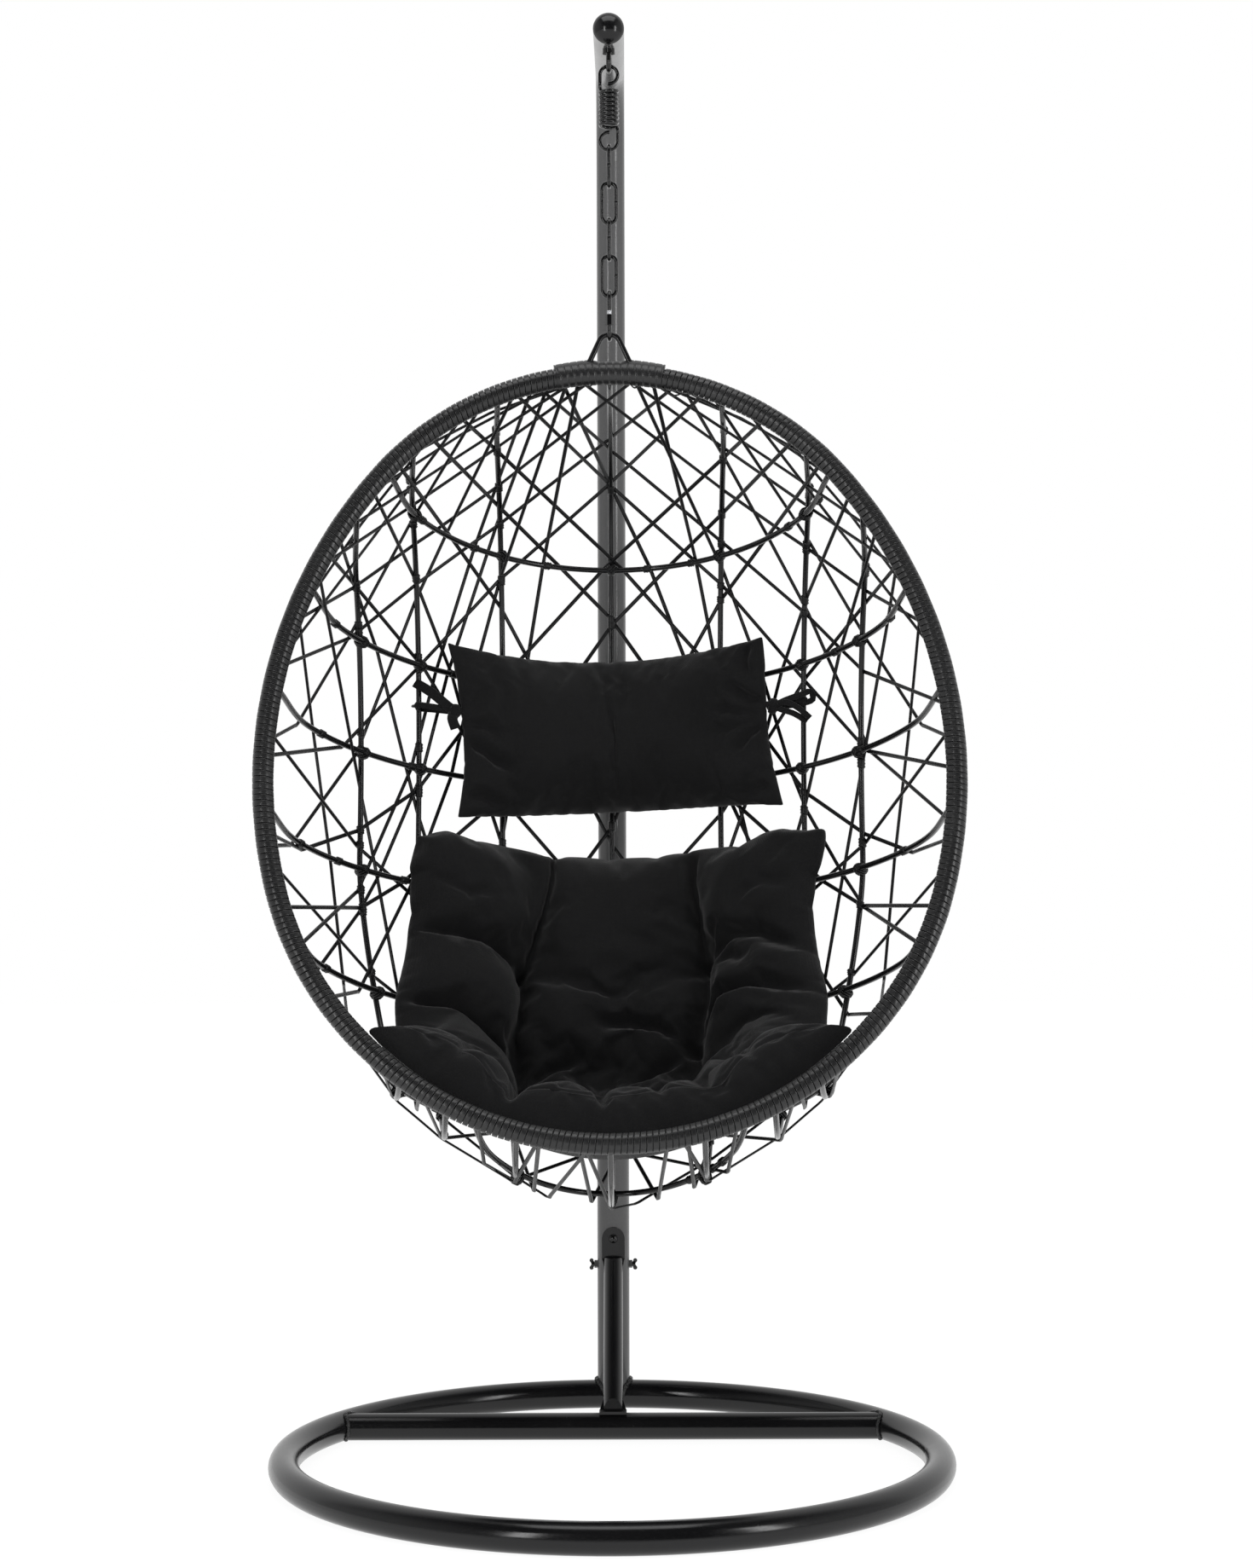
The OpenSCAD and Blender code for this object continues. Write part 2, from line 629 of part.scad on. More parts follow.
// The coil: a helix whose ends bend up and down into the hooks' legs
coil_rings = 8;      // rings for each turn
coil_cut = 25;       // degrees taken from the helix for each bent end
function coil_at(a) = [spring_r * cos(a), spring_r * sin(a), coil_low_z + spring_pitch * a / 360];
function coil_bend(from, leg, up) =
    let (corner = [leg[0], 0, from[2] + up * 0.5], end = [leg[0], 0, leg[2] - up * spring_wire])
    [for (t = [0.35, 0.7]) pow(1 - t, 2) * from + 2 * t * (1 - t) * corner + t * t * end, end, leg];
function coil_path() =
    let (
        full = 360 * spring_turns,
        steps = ceil(coil_rings * spring_turns),
        first = coil_at(coil_cut),
        last = coil_at(full - coil_cut),
        low = coil_bend(first, [hook_r, 0, coil_low_z - coil_lead], -1),
        high = coil_bend(last, [-hook_r, 0, coil_top_z + coil_lead], 1)
    )
    [for (i = [3 : -1 : 0]) low[i],
     for (i = [0 : steps]) coil_at(coil_cut + (full - 2 * coil_cut) * i / steps),
     each high];

function own_gap(path, wire, apart) = min([
    for (i = [0 : len(path) - 1]) for (j = [i + apart : 1 : len(path) - 1])
        norm(path[i] - path[j]) - wire]);

module spring_coil() {
    path = coil_path();
    n = len(path);
    sides = 6;
    ring = flat([for (i = [0 : n - 1])
        let (
            way = unit(path[min(i + 1, n - 1)] - path[max(i - 1, 0)]),
            out = unit([path[i][0], path[i][1], 0]),
            up = unit(cross(way, out)),
            side = cross(up, way)
        )
        [for (k = [0 : sides - 1]) path[i] + spring_wire / 2 * (cos(60 * k) * side - sin(60 * k) * up)]]);
    echo(spring_least_gap = own_gap(path, spring_wire, 5));
    color(steel) tube_skin(ring, n, sides);
}

// An oval link in the XZ plane, hanging down from its top wire at z = 0
module oval(span, r_end, wire) {
    arc([0, -r_end], r_end, 0, 180, wire / 2);
    arc([0, r_end - span], r_end, 180, 180, wire / 2);
    for (side = [-1, 1]) bar([side * r_end, r_end - span], [side * r_end, -r_end], wire / 2);
}

module chain_link(number) {
    color(steel) translate([0, 0, link_1_top - (number - 1) * link_step]) rotate([0, 0, number % 2 * 90])
        oval(link_span, link_r, chain_wire);
}

quick_mid = quick_top - quick_span / 2;
quick_nut_h = 14;
module quick_link() {
    gap = 3;
    color(zinc) difference() {
        translate([0, 0, quick_top]) rotate([0, 0, 90]) oval(quick_span, quick_r, quick_wire);
        translate([0, -quick_r, quick_mid - quick_nut_h / 2]) cube([2 * quick_wire, 2 * quick_wire, gap], center = true);
    }
}

module quick_link_nut() {
    color(steel) translate([0, -quick_r, quick_mid - quick_nut_h]) difference() {
        cylinder(h = quick_nut_h, r = quick_nut_af / 2 * hex_ratio, $fn = 6);
        translate([0, 0, -1]) cylinder(h = quick_nut_h + 2, r = quick_wire / 2 + screw_play);
    }
}

// ---------- basket frame ----------
foot_len = 68;       // how far each foot of the bail reaches along the rim
foot_slope = 7;
foot_bend_r = 8;
foot_lift = 0.7;     // room for the rim's curve under the straight foot
foot_z = (rim_tube_d + bail_wire) / 2 + weld_gap + foot_lift;
foot_end = [foot_len, foot_z - cos(basket_tilt) * (rim_top_r - sqrt(pow(rim_top_r, 2) - pow(foot_len, 2)))];
bail_arc_z = bail_rise - bail_wire / 2 - bail_r;
leg_top = [bail_r * cos(bail_splay), bail_arc_z + bail_r * sin(bail_splay)];
leg_way = [sin(bail_splay), -cos(bail_splay)];
foot_way = [cos(foot_slope), -sin(foot_slope)];
// where the leg's line meets the foot's line
leg_run = let (d = foot_end - leg_top)
    (d[0] * foot_way[1] - d[1] * foot_way[0]) / (leg_way[0] * foot_way[1] - leg_way[1] * foot_way[0]);
knee = leg_top + leg_run * leg_way;
foot_turn = 90 - bail_splay - foot_slope;
knee_cut = foot_bend_r * tan(foot_turn / 2);
leg_low = knee - knee_cut * leg_way;
foot_in = knee + knee_cut * foot_way;

module bail_solid(grow) {
    r = bail_wire / 2 + grow;
    arc_cut = short / bail_r * 180 / PI;
    bend_cut = short / foot_bend_r * 180 / PI;
    translate([0, 0, rim_top_z]) {
        arc([0, bail_arc_z], bail_r, bail_splay + arc_cut, 180 - 2 * (bail_splay + arc_cut), r);
        for (side = [0, 1]) mirror([side, 0, 0]) {
            bar(leg_top + short * leg_way, leg_low - short * leg_way, r);
            arc(leg_low + foot_bend_r * [cos(bail_splay), sin(bail_splay)],
                foot_bend_r, 180 + bail_splay + bend_cut, foot_turn - 2 * bend_cut, r);
            bar(foot_in + short * foot_way, foot_end + grow * foot_way, r);
            for (p = [leg_top, leg_low, foot_in]) translate([p[0], 0, p[1]]) sphere(r + bead);
        }
    }
}

module bail() {
    color(steel) bail_solid(0);
}

// The rim's tube in the mouth's frame, hollow, its lengths joined by sleeves a
// hair larger; bare is half the width left out at the top
module rim_round(r_out, r_in, bare) {
    bare_turn = asin(bare / rim_top_r);
    cut = short * 180 / PI;
    top_turn = 90 - top_join - cut / rim_top_r;
    if (bare == 0) rim_arc([0, -top_centre], rim_top_r, 90 - top_turn, 2 * top_turn) hoop_2d(r_out, r_in);
    low_turn = 90 - low_join - cut / bottom_r;
    rim_arc([0, -bottom_centre], bottom_r, -90 - low_turn, 2 * low_turn) hoop_2d(r_out, r_in);
    for (side = [0, 1]) mirror([side, 0, 0]) {
        if (bare > 0) rim_arc([0, -top_centre], rim_top_r, 90 - top_turn, top_turn - bare_turn)
            hoop_2d(r_out, r_in);
        rim_arc([side_x, -rim_widest], side_r, cut / side_r - low_join,
            low_join + top_join - 2 * cut / side_r) hoop_2d(r_out, r_in);
        rim_sleeve(rim_top_r, -top_centre, top_join) hoop_2d(r_out + bead, r_in - bead);
        rim_sleeve(bottom_r, -bottom_centre, -low_join) hoop_2d(r_out + bead, r_in - bead);
    }
}
module rim_arc(centre, radius, from, turn) {
    translate([centre[0], 0, centre[1]]) rotate([90, 0, 0]) rotate([0, 0, from])
        rotate_extrude(angle = turn, $fn = 128) translate([radius, 0]) children();
}
module rim_sleeve(radius, centre_z, at) {
    translate([radius * cos(at), 0, centre_z + radius * sin(at)]) rotate([0, -at, 0])
        linear_extrude(2, center = true) children();
}

module hoop_2d(r_out, r_in) {
    difference() {
        circle(r_out);
        circle(r_in);
    }
}

module rim_tube() {
    color(steel) in_basket() rim_round(rim_tube_d / 2, rim_tube_d / 2 - tube_wall, 0);
}

wrap_in = rim_tube_d / 2 + weld_gap;
saddle_half = 72;
module rim_wrap() {
    color(cane) in_basket() rim_round(wrap_r, wrap_in, saddle_half);
}

// The binding over the bail's feet: a sleeve round the rim and a hump above it
saddle_t = bail_wire + 5;
module saddle_wrap() {
    turn = asin((saddle_half - weld_gap) / rim_top_r);
    shoulder = knee[0] + 2;
    color(cane) difference() {
        union() {
            in_basket() rim_arc([0, -top_centre], rim_top_r, 90 - turn, 2 * turn) circle(wrap_r);
            translate([0, saddle_t / 2, rim_top_z]) rotate([90, 0, 0]) linear_extrude(saddle_t)
                polygon([
                    [-saddle_half + 1, -4], [-saddle_half + 6, 18], [-shoulder, 26], [-shoulder + 6, 17.5],
                    [shoulder - 6, 17.5], [shoulder, 26], [saddle_half - 6, 18], [saddle_half - 1, -4]]);
        }
        in_basket() rim_arc([0, -top_centre], rim_top_r, 90 - 1.3 * turn, 2.6 * turn) circle(wrap_in);
        bail_solid(weld_gap);
    }
}

// ---------- cushions ----------
// A pad laid on the shell: rows of [back, front] offsets over a grid of
// [across -1..1, down 0..1], closed by a strip round its edge
module shell_pad(cols, rows, place, back, front, pull) {
    n = cols + 1;
    grid = [for (j = [0 : rows]) for (i = [0 : cols]) [2 * i / cols - 1, j / rows]];
    at = [for (g = grid) place(g[0], g[1])];
    points = [for (side = [back, front]) for (k = [0 : len(grid) - 1])
        forward(shell_point(at[k][0], at[k][1], -side(grid[k][0], grid[k][1])), at[k][1], pull(grid[k][1]))];
    m = len(grid);
    edge = [
        for (i = [0 : cols - 1]) i,
        for (j = [0 : rows - 1]) j * n + cols,
        for (i = [cols : -1 : 1]) rows * n + i,
        for (j = [rows : -1 : 1]) j * n];
    faces = [
        for (j = [0 : rows - 1]) for (i = [0 : cols - 1])
            let (a = j * n + i)
            each [[a, a + n + 1, a + 1], [a, a + n, a + n + 1],
                [m + a, m + a + 1, m + a + n + 1], [m + a, m + a + n + 1, m + a + n]],
        for (k = [0 : len(edge) - 1])
            let (a = edge[k], b = edge[(k + 1) % len(edge)])
            each [[a, b, m + a], [b, m + b, m + a]],
    ];
    in_basket() polyhedron(points, faces);
}

// Brings a point forward, level with the shell's floor, by a share of its depth
function forward(p, v, share) =
    [p[0], p[1] * (1 - share), p[2] + share * belly * p[1] * pow(max(0, reach(v)), 2)];

seat_top_v = 0.5265 * rim_h; // where the seat cushion's back ends, at its middle
seat_ear = 62;       // how much higher its top corners stand
seat_lip = 22;       // room between its front edge and the rim
function seat_place(u, s) =
    let (
        x = seat_half_w * u * (1 - 0.05 * sin(180 * s) + 0.05 * s),
        top = seat_top_v - seat_ear * pow(abs(u), 3),
        low = bottom_centre + sqrt(pow(bottom_r, 2) - x * x) - seat_lip
    )
    [x, top + (low - top) * pow(sin(90 * s), 0.85)];

pad_back = rod_d / 2 + cushion_play;
edge_t = 12;
function edge_fall(u, s) = pow(max(0, 1 - pow(abs(u), 6)), 0.5) * pow(max(0, 1 - pow(abs(2 * s - 1), 6)), 0.5);
function seat_fill(u, s) = edge_fall(u, s) * (0.42 + 0.58 * pow(abs(cos(270 * u)), 0.6))
    * (0.62 + 0.38 * pow(abs(cos(270 * (2 * s - 1))), 0.6));
function seat_back(u, s) = pad_back + 8 * (1 - edge_fall(u, s));
function seat_front(u, s) = seat_back(u, s) + edge_t + (seat_crown - edge_t) * seat_fill(u, s);

function seat_pull(s) = let (t = max(0, (s - 0.55) / 0.45)) seat_forward * t * t * (3 - 2 * t);

module seat_cushion() {
    color(fabric) shell_pad(22, 22, function (u, s) seat_place(u, s),
        function (u, s) seat_back(u, s), function (u, s) seat_front(u, s), function (s) seat_pull(s));
}

pillow_top_v = 0.2405 * rim_h;
pillow_low_v = 0.4773 * rim_h;
pillow_waist = 0.07; // share by which the sides are drawn in between the corners
function pillow_place(u, s) =
    let (t = 2 * s - 1, mid = (pillow_top_v + pillow_low_v) / 2, half = (pillow_low_v - pillow_top_v) / 2)
    [pillow_half_w * u * (1 - pillow_waist * (1 - t * t)), mid + half * t * (1 - pillow_waist * (1 - u * u))];
function pillow_fill(u, s) = pow(max(0, 1 - pow(abs(u), 2.6)), 0.6) * pow(max(0, 1 - pow(abs(2 * s - 1), 2.4)), 0.6);
function pillow_back(u, s) = pad_back + 0.3 * (pillow_crown - edge_t) * (1 - pillow_fill(u, s));
function pillow_front(u, s) = pillow_back(u, s) + edge_t * 0.5 + (pillow_crown - edge_t) * pillow_fill(u, s);

module head_pillow() {
    color(fabric) shell_pad(22, 16, function (u, s) pillow_place(u, s),
        function (u, s) pillow_back(u, s), function (u, s) pillow_front(u, s), function (s) 0);
}

// A tie runs from the pillow's side seam to a knot on the middle rib: 1 right, -1 left
tie_v = 0.34 * rim_h;
tie_t = 2.5;
knot_r = 7;
module pillow_tie(side) {
    seam_x = pillow_half_w * (1 - pillow_waist) + 3 * cushion_play;
    seam_in = (pillow_back(1, 0.5) + pillow_front(1, 0.5)) / 2;
    knot_x = middle_rib_x - 4;
    knot_in = rod_d - rib_out + knot_r + cushion_play;
    knot = shell_point(side * knot_x, tie_v, -knot_in);
    color(fabric) in_basket() {
        strap([shell_point(side * seam_x, tie_v, -seam_in), knot]);
        translate(knot) sphere(knot_r, $fn = 12);
        strap([knot, knot + [side * 14, -12, 10], knot + [side * 30, -20, 20], knot + [side * 44, -22, 26]]);
    }
}

// A flat strap along points, standing on edge in the mouth's frame
module strap(points) {
    n = len(points);
    ring = flat([for (i = [0 : n - 1])
        let (
            way = unit(points[min(i + 1, n - 1)] - points[max(i - 1, 0)]),
            side = unit(cross(way, [0, 1, 0])),
            out = cross(side, way)
        )
        [for (s = [[-1, -1], [1, -1], [1, 1], [-1, 1]])
            points[i] + s[0] * tie_w / 2 * side + s[1] * tie_t / 2 * out]]);
    tube_skin(ring, n, 4);
}

base_ring();
cross_tube();
lower_post();
brace_tube();
brace_bolt();
brace_nut();
mast();
mast_cap();
eye_bolt();
eye_nut();
clamp_nut(-1);  // left_clamp_nut
clamp_nut(1);  // right_clamp_nut
wing_screw(-1);  // left_wing_screw
wing_screw(1);  // right_wing_screw
spring_top_hook();
spring_coil();
spring_bottom_hook();
chain_link(1);  // chain_link_1
chain_link(2);  // chain_link_2
chain_link(3);  // chain_link_3
chain_link(4);  // chain_link_4
quick_link();
quick_link_nut();
bail();
rim_tube();
rim_wrap();
saddle_wrap();
rod(rib_route(0), rib_out);  // rib_centre
rod(rib_route(-inner_rib_x), rib_out);  // left_inner_rib
rod(rib_route(-middle_rib_x), rib_out);  // left_middle_rib
rod(rib_route(-outer_rib_x), rib_out);  // left_outer_rib
rod(rib_route(inner_rib_x), rib_out);  // right_inner_rib
rod(rib_route(middle_rib_x), rib_out);  // right_middle_rib
rod(rib_route(outer_rib_x), rib_out);  // right_outer_rib
rod(hoop_route(hoop_at[0]), 0);  // hoop_1
rod(hoop_route(hoop_at[1]), 0);  // hoop_2
rod(hoop_route(hoop_at[2]), 0);  // hoop_3
rod(hoop_route(hoop_at[3]), 0);  // hoop_4
rod(hoop_route(hoop_at[4]), 0);  // hoop_5
rod(hoop_route(hoop_at[5]), 0);  // hoop_6
rod(hoop_route(hoop_at[6]), 0);  // hoop_7
cane_layer(rising_right, 0);  // cane_rising_right
cane_layer(rising_left, 1);  // cane_rising_left
cane_layer(left_side, 2);  // cane_left_side
cane_layer(right_side, 3);  // cane_right_side
cane_layer(steep, 4);  // cane_steep
seat_cushion();
head_pillow();
pillow_tie(-1);  // left_pillow_tie
pillow_tie(1);  // right_pillow_tie
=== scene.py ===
"""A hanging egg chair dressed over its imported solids.

The steel stand, chain and spring keep their solids and get their finishes here.
The cane strands, the rods, the winding on the rim, the lashings, the cushions and
their ties are made here, each in the place of its plain solid.
Lengths in the basket's own frame are millimetres: x across, w behind the mouth,
v down from the top of the rim. place() turns them into metres in the row frame.
"""
import math
import random

import bmesh
import bpy
import numpy as np
from mathutils import Matrix, Vector


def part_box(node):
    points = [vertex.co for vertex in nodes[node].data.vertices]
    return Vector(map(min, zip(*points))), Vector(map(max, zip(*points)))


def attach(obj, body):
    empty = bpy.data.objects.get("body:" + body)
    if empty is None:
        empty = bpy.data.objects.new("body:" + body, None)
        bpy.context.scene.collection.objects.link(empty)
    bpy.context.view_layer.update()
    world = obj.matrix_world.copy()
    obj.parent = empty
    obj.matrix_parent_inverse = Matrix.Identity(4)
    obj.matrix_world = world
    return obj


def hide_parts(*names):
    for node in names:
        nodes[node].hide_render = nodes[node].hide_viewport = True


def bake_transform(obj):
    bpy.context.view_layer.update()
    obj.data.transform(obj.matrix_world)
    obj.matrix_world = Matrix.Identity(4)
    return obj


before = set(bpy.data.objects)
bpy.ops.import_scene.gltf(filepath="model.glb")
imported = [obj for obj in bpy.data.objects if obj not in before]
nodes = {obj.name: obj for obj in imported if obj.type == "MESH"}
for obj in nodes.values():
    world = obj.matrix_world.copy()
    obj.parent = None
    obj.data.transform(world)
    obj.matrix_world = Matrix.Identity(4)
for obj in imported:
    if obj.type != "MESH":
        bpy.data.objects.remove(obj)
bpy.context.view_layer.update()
scene = bpy.context.scene

# ---- camera and studio

FOCAL, VIEW_H, SENSOR = 3603, 1839, 36  # pixels, pixels and millimetres
AMBIENT = 0.62


def add_object(name, data):
    made = bpy.data.objects.new(name, data)
    scene.collection.objects.link(made)
    return made


def mesh_object(name, bm, material):
    mesh = bpy.data.meshes.new(name)
    bm.to_mesh(mesh)
    bm.free()
    mesh.materials.append(material)
    return add_object(name, mesh)


def set_camera():
    lens = bpy.data.cameras.new("camera")
    lens.sensor_fit = "VERTICAL"
    lens.sensor_height = SENSOR
    lens.lens = SENSOR * FOCAL / VIEW_H
    camera = add_object("camera", lens)
    camera.location = (0.0216, -4.174, 0.9373)
    camera.rotation_euler = (math.radians(90), math.radians(0.153), 0)
    scene.camera = camera


def softbox(name, at, towards, size, power):
    light = bpy.data.lights.new(name, "AREA")
    light.shape = "RECTANGLE"
    light.size, light.size_y = size
    light.energy = power
    lamp = add_object(name, light)
    lamp.location = at
    lamp.rotation_euler = (Vector(towards) - Vector(at)).to_track_quat("-Z", "Y").to_euler()


# ---- node helpers


def add_node(tree, kind, inputs=None, **settings):
    made = tree.nodes.new(kind)
    for name, value in settings.items():
        setattr(made, name, value)
    for name, value in (inputs or {}).items():
        if isinstance(value, bpy.types.NodeSocket):
            tree.links.new(value, made.inputs[name])
        else:
            made.inputs[name].default_value = value
    return made


def maths(tree, operation, *terms):
    """A Math node's result for terms that are numbers or sockets."""
    return add_node(tree, "ShaderNodeMath", dict(enumerate(terms)), operation=operation).outputs[0]


def times(tree, a, b):
    return maths(tree, "MULTIPLY", a, b)


def noise(tree, vector, scale, detail, **more):
    inputs = {"Vector": vector, "Scale": scale, "Detail": detail, **more}
    return add_node(tree, "ShaderNodeTexNoise", inputs).outputs[0]


def drawn_noise(tree, part, across, along, detail):
    """Noise on a UV map, scaled apart across it and along it."""
    run = add_node(tree, "ShaderNodeCombineXYZ", {
        "X": times(tree, part["X"], across), "Y": times(tree, part["Y"], along)})
    return noise(tree, run.outputs[0], 1.0, detail)


def ranged(tree, value, low, high, to_low=0.0, to_high=1.0):
    """A value carried from one range into another."""
    inputs = {"Value": value, "From Min": low, "From Max": high,
              "To Min": to_low, "To Max": to_high}
    return add_node(tree, "ShaderNodeMapRange", inputs).outputs[0]


def open_group(name, gives, **takes):
    """A node group that takes a Vector and numbers with defaults, and gives numbers."""
    group = bpy.data.node_groups.new(name, "ShaderNodeTree")
    new_socket = group.interface.new_socket
    new_socket(name="Vector", in_out="INPUT", socket_type="NodeSocketVector")
    for label, default in takes.items():
        socket = new_socket(name=label, in_out="INPUT", socket_type="NodeSocketFloat")
        socket.default_value = default
    for label in gives:
        new_socket(name=label, in_out="OUTPUT", socket_type="NodeSocketFloat")
    ends = group.nodes.new("NodeGroupInput"), group.nodes.new("NodeGroupOutput")
    return group, ends[0].outputs, ends[1].inputs


def make_orange_peel():
    """The low ripple of baked powder paint."""
    group, takes, gives = open_group("orange_peel", ["Height"], Ripple=380.0, Depth=1.0)
    ripple = noise(group, takes["Vector"], takes["Ripple"], 2.0)
    group.links.new(times(group, ripple, takes["Depth"]), gives["Height"])
    return group


def make_settled_dust():
    """A cloudy film with finer specks in it, 0 clean to 1 dusty."""
    group, takes, gives = open_group("settled_dust", ["Mask"], Cloud=9.0, Specks=260.0, Amount=0.5)
    cloud = noise(group, takes["Vector"], takes["Cloud"], 5.0, Roughness=0.62)
    specks = noise(group, takes["Vector"], takes["Specks"], 3.0)
    film, grit = ranged(group, cloud, 0.42, 0.72), ranged(group, specks, 0.5, 0.75)
    both = maths(group, "MULTIPLY_ADD", grit, 0.6, times(group, film, 0.4))
    group.links.new(times(group, both, takes["Amount"]), gives["Mask"])
    return group


def make_drawn_ridges():
    """Fine lines along a drawn resin strand: X runs across it, Y along it, in metres."""
    group, takes, gives = open_group("drawn_ridges", ["Height", "Shade"], Ridges=1600.0, Streak=0.5)
    part = add_node(group, "ShaderNodeSeparateXYZ", {"Vector": takes["Vector"]}).outputs
    drift = times(group, noise(group, takes["Vector"], 60.0, 2.0), 2.0)
    across = maths(group, "MULTIPLY_ADD", part["X"], takes["Ridges"], drift)
    lines = maths(group, "MULTIPLY_ADD", maths(group, "SINE", across), 0.5, 0.5)
    streak = drawn_noise(group, part, 900.0, 40.0, 3.0)
    height = maths(group, "MULTIPLY_ADD", streak, takes["Streak"], lines)
    group.links.new(height, gives["Height"])
    group.links.new(streak, gives["Shade"])
    return group


def make_plain_weave():
    """Over-and-under threads on a piece's own UV map in metres, with uneven thick threads."""
    group, takes, gives = open_group("plain_weave", ["Height", "Shade"], Threads=900.0, Slub=0.5)
    part = add_node(group, "ShaderNodeSeparateXYZ", {"Vector": takes["Vector"]}).outputs
    runs = [times(group, part[axis], takes["Threads"]) for axis in ("X", "Y")]
    waves = [maths(group, "SINE", times(group, run, math.pi)) for run in runs]
    warp, weft = (maths(group, "ABSOLUTE", wave) for wave in waves)
    square = maths(group, "ADD", *(maths(group, "FLOOR", run) for run in runs))
    over = times(group, maths(group, "FRACT", times(group, square, 0.5)), 2.0)
    under = maths(group, "SUBTRACT", 1.0, over)
    woven = maths(group, "ADD", times(group, warp, over), times(group, weft, under))
    uneven = [drawn_noise(group, part, *scales, 1.0) for scales in ((700.0, 30.0), (30.0, 700.0))]
    thick = times(group, *uneven)
    height = maths(group, "MULTIPLY_ADD", thick, takes["Slub"], woven)
    group.links.new(height, gives["Height"])
    group.links.new(thick, gives["Shade"])
    return group


orange_peel = make_orange_peel()
settled_dust = make_settled_dust()
drawn_ridges = make_drawn_ridges()
plain_weave = make_plain_weave()


def open_material(name, **sockets):
    """A material with its Principled shader, whose even values sit on its own sockets."""
    material = bpy.data.materials.new(name)
    material.use_nodes = True
    tree = material.node_tree
    shader = tree.nodes["Principled BSDF"]
    for label, value in sockets.items():
        shader.inputs[label.replace("_", " ")].default_value = value
    return material, tree, shader


def use_group(tree, group, *inputs):
    """A group's outputs for its inputs in their order."""
    return add_node(tree, "ShaderNodeGroup", dict(enumerate(inputs)), node_tree=group).outputs


def surface(name, group, pattern, dust, colours, gloss, bump, specular=0.5, **sockets):
    """A finish with one pattern and dust settled on it. pattern holds the group's numbers, dust
    is (cloud, specks, amount), colours and gloss are the pairs that a mask runs between, bump
    is (strength, distance). Paint ripples in object space, fibres run on the UV map."""
    material, tree, shader = open_material(name, Specular_IOR_Level=specular, **sockets)
    at = tree.nodes.new("ShaderNodeTexCoord").outputs
    painted = group == orange_peel
    made = use_group(tree, group, at["Object" if painted else "UV"], *pattern)
    mask = use_group(tree, settled_dust, at["Object"], *dust)["Mask"]
    clean, worn = colours
    mix = add_node(tree, "ShaderNodeMix", {
        0: mask, 6: (*clean, 1), 7: (*worn, 1)}, data_type="RGBA")
    tree.links.new(mix.outputs[2], shader.inputs["Base Color"])
    rough = ranged(tree, mask if painted else made["Shade"], 0.0, 1.0, *gloss)
    tree.links.new(rough, shader.inputs["Roughness"])
    strength, depth = bump
    relief = add_node(tree, "ShaderNodeBump", {
        "Height": made["Height"], "Strength": strength, "Distance": depth})
    tree.links.new(relief.outputs[0], shader.inputs["Normal"])
    return material


def ray_kinds(tree):
    """Whether a camera ray looks, and whether a glossy or transmitted one does."""
    paths = tree.nodes.new("ShaderNodeLightPath").outputs
    shiny = maths(tree, "MAXIMUM", paths["Is Glossy Ray"], paths["Is Transmission Ray"])
    return paths["Is Camera Ray"], shiny


def pale_floor():
    """White where the camera or a gloss looks at it, with the faint shadow kept."""
    material, tree, shader = open_material(
        "studio_floor", Base_Color=(0.86, 0.86, 0.86, 1), Roughness=0.9, Specular_IOR_Level=0.0)
    seen = maths(tree, "MAXIMUM", *ray_kinds(tree))
    glow = add_node(tree, "ShaderNodeEmission", {"Color": (1, 1, 1, 1), "Strength": 1.1})
    mix = add_node(tree, "ShaderNodeMixShader", {
        0: times(tree, seen, 0.85), 1: shader.outputs[0], 2: glow.outputs[0]})
    tree.links.new(mix.outputs[0], tree.nodes["Material Output"].inputs["Surface"])
    return material


def set_studio():
    """White room for the camera; a gloss sees a white back, grey sides and a dark front."""
    world = bpy.data.worlds.new("studio")
    scene.world = world
    world.use_nodes = True
    tree = world.node_tree
    tree.nodes.clear()
    generated = tree.nodes.new("ShaderNodeTexCoord").outputs["Generated"]
    way = add_node(tree, "ShaderNodeSeparateXYZ", {"Vector": generated}).outputs
    behind = ranged(tree, way["Y"], -0.05, 0.45, 0.0, 0.9)
    aside = ranged(tree, maths(tree, "ABSOLUTE", way["X"]), 0.55, 0.95, 0.03, 0.6)
    gloss = maths(tree, "MAXIMUM", behind, aside)
    camera, shiny = ray_kinds(tree)
    level = AMBIENT
    for kind, seen in ((shiny, gloss), (camera, 1.0)):
        level = add_node(tree, "ShaderNodeMix", {
            0: kind, 2: level, 3: seen}, data_type="FLOAT").outputs[0]
    back = add_node(tree, "ShaderNodeBackground", {"Color": (1, 1, 1, 1), "Strength": level})
    out = tree.nodes.new("ShaderNodeOutputWorld")
    tree.links.new(back.outputs[0], out.inputs["Surface"])
    softbox("left_strip", (-1.9, -3.6, 1.5), (0, 0, 1.1), (0.5, 2.2), 34)
    softbox("right_strip", (3.0, -2.6, 1.6), (0, 0, 1.1), (0.6, 2.2), 40)
    softbox("overhead", (0.0, -0.6, 3.6), (0, 0, 0.8), (2.2, 1.4), 26)
    floor = bmesh.new()
    bmesh.ops.create_grid(floor, x_segments=2, y_segments=2, size=9)
    ground = mesh_object("studio_floor", floor, pale_floor())
    scene.view_settings.view_transform = "Standard"


# ---- the basket's shape

